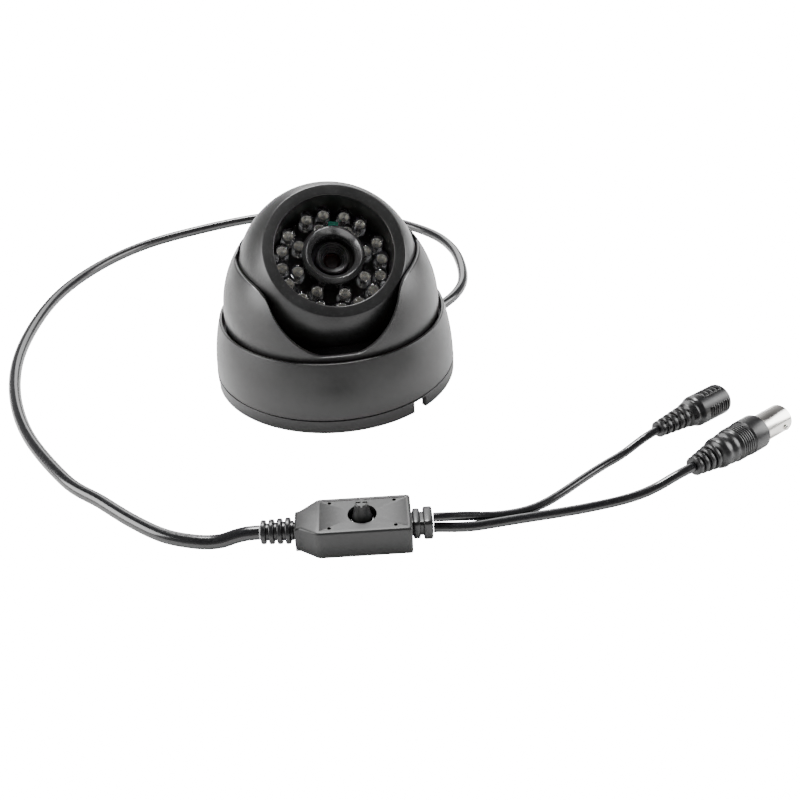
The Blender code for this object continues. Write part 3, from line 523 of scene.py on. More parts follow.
FINISHES = {
    "satin_abs": look((0.0075, 0.0073, 0.0073), (0.0105, 0.0103, 0.0102), (0.32, 0.42), 2600.0, 0.12, 0.25,
                      0.5),
    "ball_abs": look((0.005, 0.005, 0.005), (0.0075, 0.0075, 0.0075), (0.32, 0.42), 2800.0, 0.10, 0.2, 0.3),
    "box_abs": look((0.0055, 0.0055, 0.0055), (0.0085, 0.0085, 0.0085), (0.36, 0.46), 2400.0, 0.16, 0.15,
                    0.4),
    # Darkest black with weak reflections: matt black on the light cell body and the retainer ring, and
    # painted shade on the ball seat, where it darkens the bottom of the scoop.
    "matt_abs_and_painted_shade": look((0.002, 0.002, 0.002), (0.0035, 0.0035, 0.0035), (0.5, 0.62), 3000.0, 0.14, 0.1, 0.1,
                     specular=0.15),
    "cable_pvc": look((0.006, 0.006, 0.007), (0.009, 0.009, 0.01), (0.16, 0.24), 1500.0, 0.05, 0.2, 0.3,
                      coat=0.25),
    "boot_pvc": look((0.006, 0.006, 0.0065), (0.009, 0.009, 0.0095), (0.26, 0.33), 2200.0, 0.05, 0.2, 0.3),
    "board_mask": look((0.002, 0.002, 0.002), (0.004, 0.004, 0.004), (0.3, 0.42), 1800.0, 0.08, 0.1, 0.0),
    "green_board": look((0.012, 0.07, 0.03), (0.02, 0.10, 0.045), (0.3, 0.42), 1800.0, 0.08, 0.1, 0.0),
    "light_cell": look((0.04, 0.42, 0.28), (0.07, 0.55, 0.4), (0.2, 0.32), 1500.0, 0.05, 0.0, 0.0, coat=0.5),
    "nickel_plate": look((0.72, 0.70, 0.66), (0.84, 0.82, 0.79), (0.12, 0.24), 1800.0, 0.03, 0.05, 0.5,
                         metal=1.0),
    "brass_plate": look((0.62, 0.43, 0.17), (0.78, 0.58, 0.28), (0.2, 0.32), 1800.0, 0.03, 0.0, 0.2,
                        metal=1.0),
    "zinc_steel": look((0.46, 0.46, 0.47), (0.6, 0.6, 0.61), (0.25, 0.4), 1800.0, 0.06, 0.0, 0.4, metal=1.0),
    "white_nylon": look((0.66, 0.66, 0.62), (0.76, 0.76, 0.73), (0.38, 0.5), 1800.0, 0.08, 0.1, 0.1),
    "shroud_face": look((0.014, 0.014, 0.014), (0.022, 0.022, 0.022), (0.15, 0.21), 2600.0, 0.07, 0.1, 0.1,
                        specular=1.0),
    "lamp_silver": look((0.82, 0.80, 0.74), (0.95, 0.93, 0.88), (0.12, 0.3), 2600.0, 1.0, 0.0, 0.0,
                        metal=1.0),
    "lens_black": look((0.004, 0.004, 0.004), (0.007, 0.007, 0.007), (0.26, 0.38), 2600.0, 0.06, 0.0, 0.1),
}


def link_bump(tree, grain, shader, strength):
    bump = tree.nodes.new("ShaderNodeBump")
    bump.inputs["Strength"].default_value = strength
    bump.inputs["Distance"].default_value = GRAIN_DEPTH
    tree.links.new(grain.outputs["Height"], bump.inputs["Height"])
    tree.links.new(bump.outputs[0], shader.inputs["Normal"])


def finish(name):
    """Material of a finish: colour and roughness vary in patches, dust lies on top, grain makes the bump."""
    made = bpy.data.materials.get(name)
    if made is not None:
        return made
    settings = FINISHES[name]
    material = bpy.data.materials.new(name)
    material.use_nodes = True
    tree = material.node_tree
    shader = tree.nodes["Principled BSDF"]
    grain = use_group(tree, moulded_grain, grain_scale=settings["grain"])
    dust = use_group(tree, settled_dust, amount=settings["dust"])
    marks = use_group(tree, handling_marks, density=settings["marks"])
    patch = remap(tree, grain.outputs["Patches"], 0.35, 0.65)
    colour = mix_colour(tree, patch, settings["dark"], settings["light"])
    grey = tuple(min(1.0, 0.12 + 0.6 * c) for c in settings["light"])
    tree.links.new(mix_colour(tree, dust.outputs["Mask"], colour, grey), shader.inputs["Base Color"])
    low, high = settings["rough"]
    rough = math_node(tree, "ADD", remap(tree, grain.outputs["Patches"], 0.3, 0.7, low, high),
                      math_node(tree, "MULTIPLY", dust.outputs["Mask"], 0.3))
    tree.links.new(math_node(tree, "SUBTRACT", rough,
                             math_node(tree, "MULTIPLY", marks.outputs["Marks"], 0.12)),
                   shader.inputs["Roughness"])
    link_bump(tree, grain, shader, settings["depth"])
    shader.inputs["Metallic"].default_value = settings.get("metal", 0.0)
    shader.inputs["Specular IOR Level"].default_value = settings.get("specular", 0.5)
    shader.inputs["Coat Weight"].default_value = settings.get("coat", 0.0)
    shader.inputs["Coat Roughness"].default_value = 0.12
    return material


def clear_finish(name, colour, rough):
    """Clear resin or glass: transmission with faint waviness in the bump."""
    made = bpy.data.materials.get(name)
    if made is not None:
        return made
    material = bpy.data.materials.new(name)
    material.use_nodes = True
    tree = material.node_tree
    shader = tree.nodes["Principled BSDF"]
    grain = use_group(tree, moulded_grain, grain_scale=500.0)
    link_bump(tree, grain, shader, 0.04)
    shade = tuple(0.94 * c for c in colour)
    tree.links.new(mix_colour(tree, grain.outputs["Patches"], shade, colour), shader.inputs["Base Color"])
    tree.links.new(remap(tree, grain.outputs["Patches"], 0.3, 0.7, rough, rough + 0.04),
                   shader.inputs["Roughness"])
    shader.inputs["Transmission Weight"].default_value = 1.0
    shader.inputs["IOR"].default_value = 1.5
    return material


def piece(name, mesh, material, body, replaced=()):
    """Show a mesh: it has a material or a finish's name, a body and the CAD nodes it stands for."""
    item = placed(name, mesh)
    mesh.materials.clear()
    mesh.materials.append(finish(material) if isinstance(material, str) else material)
    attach(item, body)
    if replaced:
        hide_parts(*replaced)
    return item


def carve(mesh, tools):
    """Mesh with each tool mesh cut away by an exact Boolean, then welded; the tools are used up."""
    target = placed("carved", mesh)
    helpers = []
    for tool in tools:
        helper = placed("carver", tool)
        helpers.append(helper)
        cutter = target.modifiers.new("Cut", "BOOLEAN")
        cutter.operation = "DIFFERENCE"
        cutter.solver = "EXACT"
        cutter.object = helper
    graph = bpy.context.evaluated_depsgraph_get()
    result = bpy.data.meshes.new_from_object(target.evaluated_get(graph))
    for helper in helpers + [target]:
        bpy.data.objects.remove(helper, do_unlink=True)
    return welded(result, WELD, CARVED_CREASE)


def bar(low, high, matrix=None, edge=0.0):
    """Block between two corners as a grid: four sides carried up and closed at both ends."""
    x0, y0, z0 = low
    x1, y1, z1 = high
    plan = fillet([(x0, y0, edge), (x1, y0, edge), (x1, y1, edge), (x0, y1, edge)])
    middle = np.array([(x0 + x1) / 2, (y0 + y1) / 2])
    inset = middle + (plan - middle) * (1 - 0.6 * edge / max(1.0, min(x1 - x0, y1 - y0)))
    loops = [(np.broadcast_to(middle, plan.shape), z0), (inset, z0), (plan, z0 + 0.35 * edge),
             (plan, z1 - 0.35 * edge), (inset, z1), (np.broadcast_to(middle, plan.shape), z1)]
    rows = [np.column_stack((ring, np.full(len(plan), z))) for ring, z in loops]
    return grid_mesh("block", np.stack(rows), matrix, close_rows=False)


def spoke(azimuth, inner, outer, width, low, high):
    return bar((-width / 2, -outer, low), (width / 2, -inner, high),
               Matrix.Rotation(math.radians(azimuth), 4, "Z"))


def peg(radius, low, high, matrix=None, segments=48):
    return turned_mesh("peg", [(0, high), (radius, high), (radius, low), (0, low)], segments, matrix)


class DomeSettings(bpy.types.PropertyGroup):
    """Sizes and colours of the finished camera"""
    segments: IntProperty(name="Round segments", description="Sides of the large turned pieces",
                          default=192, min=48)
    lamp_segments: IntProperty(name="Lamp segments", description="Sides of each lamp", default=32, min=12)
    cable_diameter: FloatProperty(name="Cable diameter", description="Diameter of the main cable",
                                  default=0.00456, unit="LENGTH")
    floor_colour: FloatVectorProperty(name="Floor colour", description="Colour of the studio floor",
                                      default=(0.92, 0.92, 0.92), subtype="COLOR", size=3)
    floor_glow: FloatProperty(name="Floor glow", default=16.0, min=0.0,
                              description="Extra brightness of the floor as the camera sees it")
    key_power: FloatProperty(name="Key power", description="Strength of the main soft light in watts",
                             default=9.0, min=0.0)


class DOME_OT_stage(bpy.types.Operator):
    """Set up the camera, the lights and the pale floor"""
    bl_idname = "dome.stage"
    bl_label = "Stage"

    def execute(self, context):
        settings = context.scene.dome_settings
        eye = bpy.data.cameras.new("camera")
        eye.lens = EYE_LENS
        eye.sensor_width = 36
        eye.clip_start = 0.01
        viewer = placed("camera", eye)
        flat = math.cos(EYE_PITCH)
        forward = Vector((math.sin(EYE_YAW) * flat, math.cos(EYE_YAW) * flat, -math.sin(EYE_PITCH)))
        level = Vector((math.cos(EYE_YAW), -math.sin(EYE_YAW), 0))
        above = level.cross(forward)
        right = math.cos(EYE_ROLL) * level + math.sin(EYE_ROLL) * above
        up = math.cos(EYE_ROLL) * above - math.sin(EYE_ROLL) * level
        turn = Matrix((right, up, -forward)).transposed().to_4x4()
        viewer.matrix_world = Matrix.Translation(EYE_PLACE) @ turn
        context.scene.camera = viewer

        floor_mesh = bpy.data.meshes.new("floor")
        sides = ((-1, -1), (1, -1), (1, 1), (-1, 1))
        corners = [(x * FLOOR_REACH, y * FLOOR_REACH, FLOOR_LEVEL) for x, y in sides]
        floor_mesh.from_pydata(corners, [], [(0, 1, 2, 3)])
        floor = placed("floor", floor_mesh)
        paint = bpy.data.materials.new("floor")
        paint.use_nodes = True
        shader = paint.node_tree.nodes["Principled BSDF"]
        shader.inputs["Base Color"].default_value = (*settings.floor_colour, 1)
        shader.inputs["Roughness"].default_value = 0.9
        shader.inputs["Specular IOR Level"].default_value = 0.1
        shader.inputs["Emission Color"].default_value = (1, 1, 1, 1)
        seen = paint.node_tree.nodes.new("ShaderNodeLightPath").outputs["Is Camera Ray"]
        glow = math_node(paint.node_tree, "ADD", math_node(paint.node_tree, "MULTIPLY", seen,
                                                           settings.floor_glow), 0.3)
        paint.node_tree.links.new(glow, shader.inputs["Emission Strength"])
        floor_mesh.materials.append(paint)

        world = bpy.data.worlds.new("studio")
        world.use_nodes = True
        world.node_tree.nodes["Background"].inputs[0].default_value = (1, 1, 1, 1)
        tree = world.node_tree
        height = tree.nodes.new("ShaderNodeSeparateXYZ")
        tree.links.new(tree.nodes.new("ShaderNodeTexCoord").outputs["Generated"], height.inputs[0])
        seen = math_node(tree, "MULTIPLY", tree.nodes.new("ShaderNodeLightPath").outputs["Is Camera Ray"],
                         settings.floor_glow)
        light = math_node(tree, "ADD", remap(tree, height.outputs["Z"], 0.0, 0.7, 0.72, 0.1), seen)
        tree.links.new(light, tree.nodes["Background"].inputs[1])
        context.scene.world = world
        lights = (("key", (-0.75, -0.05, 0.35), 0.5, settings.key_power),
                  ("side", (0.75, 0.0, 0.3), 0.45, 6.0), ("back", (0.1, 0.8, 0.5), 0.6, 5.0),
                  ("top", (-0.05, 0.35, 0.8), 0.3, 15.0))
        for name, place, size, power in lights:
            lamp = bpy.data.lights.new(name, "AREA")
            lamp.size = size
            lamp.energy = power
            item = placed(name, lamp)
            item.location = place
            item.rotation_euler = (Vector(LIGHT_TARGET) - Vector(place)).to_track_quat("-Z", "Y").to_euler()
        return {"FINISHED"}


def round_cord(name, route, diameter, spacing):
    """Cord as one open spline of even points along its smooth route, with a round bevel."""
    points, length = smooth_route(route, spacing)
    curve = bpy.data.curves.new(name, "CURVE")
    curve.dimensions = "3D"
    curve.bevel_depth = diameter / 2 * MM
    curve.bevel_resolution = 8
    curve.use_fill_caps = True
    spline = curve.splines.new("POLY")
    spline.points.add(len(points) - 1)
    flat = np.column_stack((points * MM, np.ones(len(points))))
    spline.points.foreach_set("co", flat.ravel())
    spline.use_smooth = True
    item = placed(name, curve)
    curve.materials.append(finish("cable_pvc"))
    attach(item, "base")
    return item, length * MM


def cord_list(thick):
    """Name, route, diameter, spacing of points and CAD node of each cord."""
    return (("cable", CABLE_ROUTE, thick, CABLE_SPACING, "main_cable"),
            ("power_lead", DC_LEAD_ROUTE, DC_LEAD_THICK, LEAD_SPACING, "dc_lead"),
            ("video_lead", BNC_LEAD_ROUTE, BNC_LEAD_THICK, LEAD_SPACING, "bnc_lead"))


class DOME_OT_cords(bpy.types.Operator):
    """Lay the main cable and the two leads"""
    bl_idname = "dome.cords"
    bl_label = "Cords"

    def execute(self, context):
        thick = context.scene.dome_settings.cable_diameter / MM
        for name, route, size, spacing, node in cord_list(thick):
            item, _ = round_cord(name, route, size, spacing)
            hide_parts(node)
        return {"FINISHED"}


class DOME_OT_base(bpy.types.Operator):
    """Build the base plate and the drum cover"""
    bl_idname = "dome.base"
    bl_label = "Base and drum"

    def execute(self, context):
        segments = context.scene.dome_settings.segments
        plate = turned_mesh("base", fillet([
            (47.0, 5.2, 0.25), (47.0, 0, 0.4), (44.8, 0, 0.4), (44.8, 3.2, 0.4), (42.6, 4.9, 0.4),
            (10.0, 4.9, 0.2), (10.0, 6.5, 0.2), (44.6, 6.5, 0.2), (44.6, 5.2, 0)]), segments)
        tools = [spoke(a, 44.0, 50, 6.1, -1, 4.7) for a in NOTCH_AZIMUTHS]
        tools.append(spoke(CABLE_AZIMUTH, 41.0, 50, 6.8, -1, 4.75))
        tools.append(spoke(CABLE_AZIMUTH, 28.0, 40.6, 5.6, 4, 8))
        for azimuth in FIXING_AZIMUTHS:
            x, y = around(azimuth, 32.2)
            tools.append(peg(2.3, 4, 8, Matrix.Translation((x * MM, y * MM, 0))))
        piece("base_body", carve(plate, tools), "satin_abs", "base", ["base_plate"])
        for number, azimuth in enumerate(POST_AZIMUTHS, 1):
            x, y = around(azimuth, 38.0)
            post = fillet([(0, 10.5), (1.4, 10.5, 0.1), (1.4, 17.0, 0.2), (2.8, 17.0, 0.3), (2.8, 6.6, 0.0),
                           (0, 6.6)])
            mesh = turned_mesh("post", post, 40, Matrix.Translation((x * MM, y * MM, 0)))
            piece(f"base_post_{number}", mesh, "satin_abs", "base")
        heights = np.linspace(5.5, 26.4, 60)
        outer = np.column_stack((drum_radius(heights), heights))
        low = outer[0]
        outer = outer[1:]
        inner_heights = np.linspace(5.5, 22.0, 30)[::-1]
        inner = np.column_stack((drum_radius(inner_heights) - DRUM_WALL, inner_heights))
        rim = fillet([tuple(outer[-1]), (43.3, DRUM_TOP, 0.35), (42.2, DRUM_TOP, 0.35), (42.2, 22.0, 0.2),
                      tuple(inner[0])])[1:-1]
        start = np.array([[low[0] - 0.25, low[1]], [low[0] - 0.07, low[1] + 0.08], [low[0], low[1] + 0.3]])
        profile = np.vstack((start, outer, rim, inner))
        piece("drum_body", turned_mesh("drum", profile, segments), "satin_abs", "cover",
              ["drum_cover"])
        return {"FINISHED"}


class DOME_OT_turret(bpy.types.Operator):
    """Build the turret shell with its scooped opening"""
    bl_idname = "dome.turret"
    bl_label = "Turret"

    def execute(self, context):
        mesh = grid_mesh("turret", turret_points())
        piece("turret_body", mesh, "satin_abs", "turret", ["turret_shell"])
        seat = np.vstack((sphere_band(BALL_CENTRE, BALL_ROOM, 22.4, 27.7, 16), [(38.9, 27.7), (38.9, 22.4)]))
        # The ball seat takes the darkest, least shiny finish: painted shade that darkens the bottom of the
        # scoop.
        piece("ball_seat", turned_mesh("seat", seat, 144), "matt_abs_and_painted_shade", "turret", ["seat_ring"])
        return {"FINISHED"}


class DOME_OT_eyeball(bpy.types.Operator):
    """Build the two halves of the eyeball"""
    bl_idname = "dome.eyeball"
    bl_label = "Eyeball"

    def execute(self, context):
        segments = context.scene.dome_settings.segments
        piece("ball_front", turned_mesh("ball_front", eyeball_profile(), segments, LOOK), "ball_abs",
              "head", ["eyeball_front"])
        rear = np.vstack((sphere_band(0, BALL_RADIUS, BALL_BACK, BALL_SPLIT, 24),
                          sphere_band(0, BALL_INNER, BALL_BACK, BALL_SPLIT, 24)[::-1]))
        piece("ball_rear", turned_mesh("ball_rear", rear, 144, LOOK), "ball_abs", "ball",
              ["eyeball_rear"])
        return {"FINISHED"}


class DOME_OT_lamps(bpy.types.Operator):
    """Build the lamp board, the lamps with their lead frames, and the light cell"""
    bl_idname = "dome.lamps"
    bl_label = "Lamps"

    def execute(self, context):
        sides = context.scene.dome_settings.lamp_segments
        board = fillet([(21.1, BOARD_TOP, 0.1), (21.1, BOARD_BOTTOM, 0.1), (7.9, BOARD_BOTTOM, 0.1),
                        (7.9, BOARD_TOP, 0.1)])
        piece("lamp_board", turned_mesh("board", board, 144, MODULE), "board_mask", "head",
              ["ir_board"])
        base = BOARD_TOP + GAP
        shoulder = base + LAMP_SHOULDER
        dome = arc(shoulder, LAMP_RADIUS, 90, 0, 14)
        dome[0, 0] = 0
        case = np.vstack((dome, fillet([(LAMP_RADIUS, shoulder - 0.1), (LAMP_RADIUS, base + 1.0, 0.15),
                                        (2.75, base + 1.0, 0.15), (2.75, base, 0.1), (0, base)])))
        cup = fillet([(0, base + 4.75), (0.25, base + 4.75, 0.05), (0.35, base + 4.4, 0.05),
                      (0.5, base + 4.4, 0.05), (0.95, base + 5.1, 0.05), (1.15, base + 5.1, 0.05),
                      (1.15, base + 4.3, 0.1), (0.4, base + 3.6, 0.1), (0.4, base + 0.3), (0, base + 0.3)])
        resin = clear_finish("clear_epoxy", (0.93, 0.95, 0.97), 0.02)
        for number, (circle, angle) in enumerate(LAMP_SEATS, 1):
            at = math.radians(90 + angle)
            seat = offset(MODULE, circle * math.cos(at), circle * math.sin(at))
            piece(f"lamp_{number:02d}", turned_mesh("lamp", case, sides, seat), resin, "head",
                  [f"led_{number:02d}"])
            piece(f"lamp_{number:02d}_cup", turned_mesh("cup", cup, 20, seat), "lamp_silver", "head")
        cell = fillet([(0, 11.0), (2.1, 11.0, 0.3), (2.1, base, 0.1), (0, base)])
        spot = offset(MODULE, 0, CELL_CIRCLE)
        piece("cell_body", turned_mesh("cell", cell, 48, spot), "matt_abs_and_painted_shade", "head",
              ["light_sensor"])
        face = bar((-1.9, -0.5, 11.05), (1.9, 1.6, 11.9), spot, 0.5)
        piece("cell_face", face, "light_cell", "head")
        return {"FINISHED"}


class DOME_OT_lens(bpy.types.Operator):
    """Build the lens shroud, the screw-in barrel and the front glass"""
    bl_idname = "dome.lens"
    bl_label = "Lens"

    def execute(self, context):
        base = BOARD_TOP + GAP
        holder = fillet([
            (10.1, 20.6, 0.25), (11.4, 18.8, 0.5), (11.4, 18.0, 0.3), (9.9, 16.9, 0.3), (9.9, base, 0.2),
            (7.6, base, 0.1), (7.6, -1.8, 0.1), (6.3, -1.8, 0.1), (6.3, 12.0, 0.1), (8.0, 12.0, 0.2),
            (8.0, 18.3, 0.2), (9.8, 20.6, 0.15)])
        piece("lens_shroud", turned_mesh("shroud", holder, 144, MODULE), "shroud_face", "head",
              ["lens_holder"])
        barrel = fillet([
            (6.2, 16.2, 0.4), (6.2, 12.4, 0.1), (6.0, 12.4, 0.1), (6.0, 1.0, 0.2), (4.4, 1.0, 0.1),
            (4.4, 12.2, 0.1), (3.2, 12.6, 0.1), (3.2, 13.3, 0.1), (3.7, 13.4, 0.1), (3.8, 14.2, 0.1),
            (4.5, 14.3, 0.1), (4.6, 15.2, 0.1), (5.1, 15.3, 0.1), (5.4, 16.2, 0.2)])
        piece("lens_body", turned_mesh("lens_body", barrel, 144, MODULE), "lens_black", "lens",
              ["lens_barrel"])
        dome = arc(7.4, 5.4, 90, 51, 12)
        dome[0, 0] = 0
        glass = np.vstack((dome, [(3.6, 11.3), (3.6, 10.7), (3.5, 10.6), (0, 10.6)]))
        tint = clear_finish("coated_glass", (0.42, 0.16, 0.14), 0.02)
        piece("front_glass", turned_mesh("front_glass", glass, 96, MODULE), tint, "lens",
              ["lens_glass"])
        backing = fillet([(0, 10.2), (3.6, 10.2, 0.1), (3.6, 9.4, 0.1), (0, 9.4)])
        piece("lens_inner_stop", turned_mesh("stop", backing, 64, MODULE), "lens_black", "lens")
        return {"FINISHED"}


class DOME_OT_menu_box(bpy.types.Operator):
    """Build the menu box, its knob and its two reliefs"""
    bl_idname = "dome.menu_box"
    bl_label = "Menu box"

    def execute(self, context):
        shell = grid_mesh("box", box_points(0, 0.0, BOX_HEIGHT, 0.8), BOX, close_rows=False)
        right = BOX_LENGTH / 2
        left = -right - BOX_TAPER
        tools = [grid_mesh("hollow", box_points(1.3, -1.0, 8.4, 0.4), BOX, close_rows=False)]
        tools.append(peg(4.5, 7.9, 11, offset(BOX, KNOB_OFFSET, 0), 72))
        tools.append(bar((-13.9, -6.9, BOX_HEIGHT - 0.14), (13.1, 6.9, 11), BOX, 0.5))
        tools.append(bar((right - 3, -3.7, 1.3), (right + 3, 3.7, 7.5), BOX))
        tools.append(bar((left - 3, -2.8, 1.9), (left + 3, 2.8, 7.5), BOX))
        for x in (KNOB_OFFSET - 10.1, KNOB_OFFSET + 10.1):
            for y in (-5.9, 5.9):
                tools.append(peg(0.6, 9.0, 11, offset(BOX, x, y), 24))
        piece("box_shell", carve(shell, tools), "box_abs", "base", ["box_housing"])
        knob = fillet([(0, 14.2), (1.7, 14.2, 0.4), (2.0, 13.8, 0.3), (2.3, 12.0, 0.6), (2.8, 10.0, 0.4),
                       (3.3, 7.9, 0.3), (0, 7.9)])
        cross = [bar((-4, -0.3, 13.8), (4, 0.3, 16), KNOB), bar((-0.3, -4, 13.8), (0.3, 4, 16), KNOB)]
        piece("knob_cap", carve(turned_mesh("knob", knob, 64, KNOB), cross), "box_abs", "knob",
              ["joystick_knob"])
        neck = left - GAP
        corners = [(0, -32.2)] + ribs(-32.2, neck, 3.7, 4.2, 4,
                                      1.1) + [(2.5, neck, 0.1), (2.5, neck + 2.9, 0.1), (0, neck + 2.9)]
        piece("inlet_relief", turned_mesh("inlet", fillet(corners), 64, RELIEF), "boot_pvc", "base",
              ["cable_relief"])
        waist = (3.3, 1.7, 7.1)
        rows = [(12.4, *waist), (14.7, *waist)]
        for start, end, half, low, high in ((14.7, 17.0, 4.1, 1.1, 7.9), (18.0, 20.9, 4.4, 0.9, 8.2)):
            for along, inset in ((start, 0.5), (start + 0.15, 0.15), (start + 0.5, 0), (end - 0.5, 0),
                                 (end - 0.15, 0.15), (end, 0.5)):
                rows.append((along, half - inset, low + inset, high - inset))
            if end < 18:
                rows += [(end, *waist), (18.0, *waist)]
        piece("outlet_relief", grid_mesh("outlet", relief_points(rows), BOX, close_rows=False), "boot_pvc",
              "base", ["lead_relief"])
        return {"FINISHED"}


def relief_points(rows):
    """Rounded rectangles along the box's axis, one for each (x, half width, low, high), with closed ends."""
    loops = []
    for x, half, low, high in rows:
        plan = fillet([(-half, low, 1.6), (half, low, 1.6), (half, high, 1.6), (-half, high, 1.6)], 8)
        loops.append(np.column_stack((np.full(len(plan), x), plan)))
    centre = np.array([0, (rows[0][2] + rows[0][3]) / 2])
    first = loops[0].copy()
    first[:, 1:] = centre
    last = loops[-1].copy()
    last[:, 1:] = centre
    return np.stack([first] + loops + [last])


class DOME_OT_plugs(bpy.types.Operator):
    """Build the power socket and the video plug"""
    bl_idname = "dome.plugs"
    bl_label = "Plugs"

    def execute(self, context):
        end = DC_LENGTH
        corners = [(0, 0)] + ribs(0, 13.6, 2.8, 4.1, 5, 0.7) + [
            (4.3, 14.0, 0.3), (4.8, 16.2, 0.5), (4.6, 16.9, 0.3), (5.2, 17.6, 0.3), (5.6, 18.4, 0.4),
            (5.6, end - 1.0, 0.8), (4.7, end, 0.5), (3.1, end, 0.3), (2.75, end - 0.4, 0.2),
            (2.75, end - 9.2, 0.1), (0, end - 9.2)]
        profile = refine(fillet(corners), 0.16)
        points = turned_points(profile, 128)
        points = rib_webs(points, 13.4, 2.8, 4.1)
        points = grip_pads(points, 21.0, end - 2.0)
        piece("power_boot", grid_mesh("power_boot", points, DC), "boot_pvc", "base",
              ["dc_boot"])
        rings = []
        for step in range(6):
            low = 18.6 + step * 0.98
            rings += [(5.95, low, 0.15), (5.95, low + 0.58, 0.15), (5.5, low + 0.62, 0.06),
                      (5.5, low + 0.94, 0.06)]
        corners = [(0, 0)] + ribs(0, 10.0, 3.1, 4.6, 4, 0.8) + [
            (5.0, 10.6, 0.5), (5.5, 12.2, 0.8), (5.05, 14.0, 0.8), (5.65, 15.8, 0.9), (5.3, 17.6, 0.7)]
        corners += rings + [(6.15, 24.9, 0.2), (6.15, BNC_BOOT, 0.6), (5.1, BNC_BOOT, 0.1),
                            (5.1, BNC_FLOOR, 0.1), (0, BNC_FLOOR)]
        piece("video_boot", turned_mesh("video_boot", fillet(corners), 128, BNC), "boot_pvc", "base",
              ["bnc_boot"])
        barrel = fillet([(4.8, BNC_LENGTH - 0.2, 0.2), (4.8, 27.5, 0.2), (0, 27.5), (0, 29.5),
                         (4.1, 29.5, 0.1), (4.1, BNC_LENGTH, 0.1), (4.6, BNC_LENGTH, 0.2)])
        piece("video_barrel", turned_mesh("video_barrel", barrel, 128, BNC), "nickel_plate", "base",
              ["bnc_barrel"])
        for number, side in enumerate((1, -1), 1):
            stud = fillet([(0, 5.6), (1.0, 5.6, 0.3), (1.0, 4.7, 0.0), (0, 4.7)])
            turn = BNC @ Matrix.Translation((0, 0, BNC_STUDS * MM)) @ Matrix.Rotation(side * math.pi / 2, 4,
                                                                                      "X")
            piece(f"bayonet_stud_{number}", turned_mesh("stud", stud, 32, turn), "nickel_plate", "base")
        return {"FINISHED"}


def refine(profile, step):
    """Profile with points added along its long sides, so that no side is longer than step."""
    out = []
    for a, b in zip(profile, np.roll(profile, -1, axis=0)):
        count = max(1, int(np.linalg.norm(b - a) / step)) if a[0] > 4.6 and b[0] > 4.6 else 1
        out.append(a + (b - a) * (np.arange(count) / count)[:, None])
    return np.vstack(out)


def widened(points, scale):
    """Copy of turned points with each one's distance from the axis scaled."""
    points = points.copy()
    points[..., :2] *= scale[..., None]
    return points


def rib_webs(points, end, first, last):
    """Webs that join the ribs of a relief: near four angles the radius is no less than the straight taper."""
    angle = np.arctan2(points[..., 1], points[..., 0])
    along = points[..., 2]
    radius = np.hypot(points[..., 0], points[..., 1])
    away = np.abs(angle % (math.pi / 2) - math.pi / 4)
    taper = first + (last - first) * along / end - 0.08
    near = np.clip((0.24 - away) / 0.08, 0, 1)
    ribbed = (along > 0.3) & (along < end) & (radius > 1.5)
    wanted = np.where(ribbed, np.maximum(radius, radius + (taper - radius) * near), radius)
    return widened(points, wanted / np.maximum(radius, 0.01))


def grip_pads(points, low, high):
    """Four grip pads around a sleeve: each is a raised field crossed by deep grooves. The radius grows where
    the angle is near a pad's middle and the height is between low and high, less a cosine row of grooves."""
    angle = np.arctan2(points[..., 1], points[..., 0])
    along = points[..., 2]
    radius = np.hypot(points[..., 0], points[..., 1])
    lift = np.zeros_like(radius)
    for middle in np.radians((-10.0, 80.0, 170.0, 260.0)):
        away = np.abs((angle - middle + math.pi) % TURN - math.pi)
        across = np.clip((0.40 - away) / 0.08, 0, 1)
        ends = np.clip(np.minimum(along - low, high - along) / 0.25, 0, 1)
        groove = np.clip(0.5 - 0.9 * np.cos((along - low) * TURN / 1.05), 0, 1)
        lift += (0.25 - 0.75 * groove) * across * ends
    return widened(points, np.where(radius > 5.2, 1 + lift / np.maximum(radius, 0.1), 1.0))


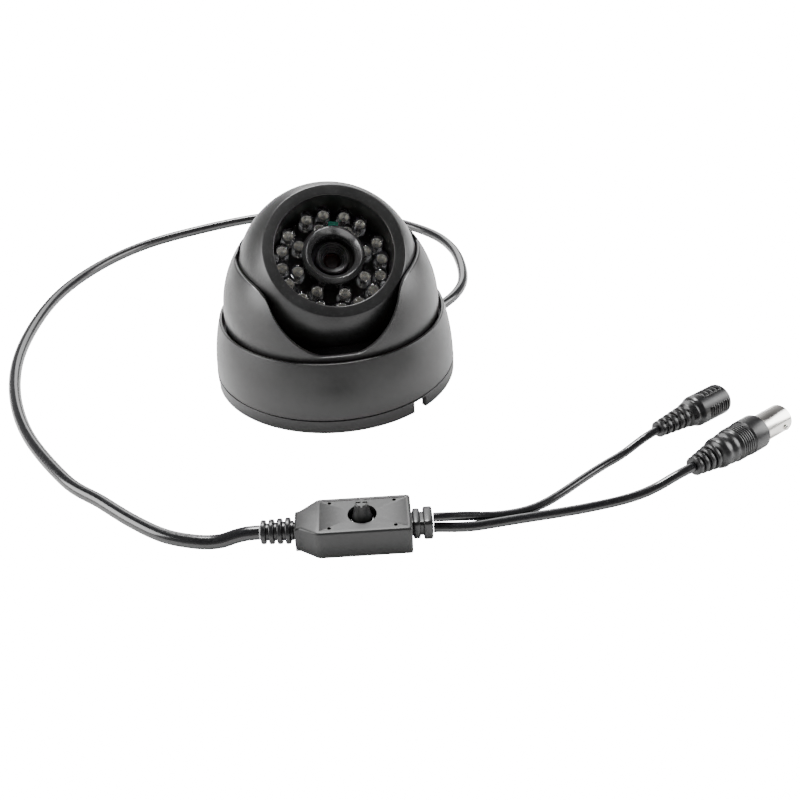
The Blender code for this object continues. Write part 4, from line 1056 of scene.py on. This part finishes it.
NODE_FINISHES = {
    "retainer_ring": "matt_abs_and_painted_shade", "retainer_screw_1": "zinc_steel", "retainer_screw_2": "zinc_steel",
    "retainer_screw_3": "zinc_steel", "cable_grommet": "boot_pvc", "inner_cable": "cable_pvc",
    "camera_board": "green_board", "image_sensor": "board_mask", "box_cover": "box_abs",
    "box_board": "green_board", "joystick_switch": "zinc_steel", "joystick_cradle": "white_nylon",
    "joystick_stem": "zinc_steel", "dc_pin": "nickel_plate", "bnc_contact": "brass_plate",
}


class DOME_OT_inner_parts(bpy.types.Operator):
    """Give every remaining part its own finish"""
    bl_idname = "dome.inner_parts"
    bl_label = "Inner parts"

    def execute(self, context):
        for node, look in NODE_FINISHES.items():
            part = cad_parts[node]
            if not part.material_slots:
                part.data.materials.append(finish(look))
            for place in part.material_slots:
                place.material = finish(look)
        return {"FINISHED"}


class DOME_OT_cord_ends(bpy.types.Operator):
    bl_idname = "dome.cord_ends"
    bl_label = "Cord ends"

    def execute(self, context):
        return {"FINISHED"}


class DOME_PT_panel(bpy.types.Panel):
    """Lists the steps that build the camera"""
    bl_idname = "DOME_PT_panel"
    bl_label = "Dome camera"
    bl_space_type = "VIEW_3D"
    bl_region_type = "UI"
    bl_category = "Dome camera"

    def draw(self, context):
        settings = context.scene.dome_settings
        for field in ("segments", "lamp_segments", "cable_diameter", "floor_colour", "floor_glow",
                      "key_power"):
            self.layout.prop(settings, field)
        for step in STEPS:
            self.layout.operator(step.bl_idname)


STEPS = (DOME_OT_stage, DOME_OT_cords, DOME_OT_base, DOME_OT_turret, DOME_OT_eyeball, DOME_OT_lamps,
         DOME_OT_lens, DOME_OT_menu_box, DOME_OT_plugs, DOME_OT_inner_parts, DOME_OT_cord_ends)
CLASSES = (DomeSettings, *STEPS, DOME_PT_panel)


def register():
    for item in CLASSES:
        bpy.utils.register_class(item)
    bpy.types.Scene.dome_settings = PointerProperty(type=DomeSettings)


def unregister():
    del bpy.types.Scene.dome_settings
    for item in reversed(CLASSES):
        bpy.utils.unregister_class(item)


def main():
    register()
    for step in STEPS:
        area, name = step.bl_idname.split(".")
        getattr(getattr(bpy.ops, area), name)()
    bpy.context.view_layer.update()


if __name__ == "__main__":
    main()
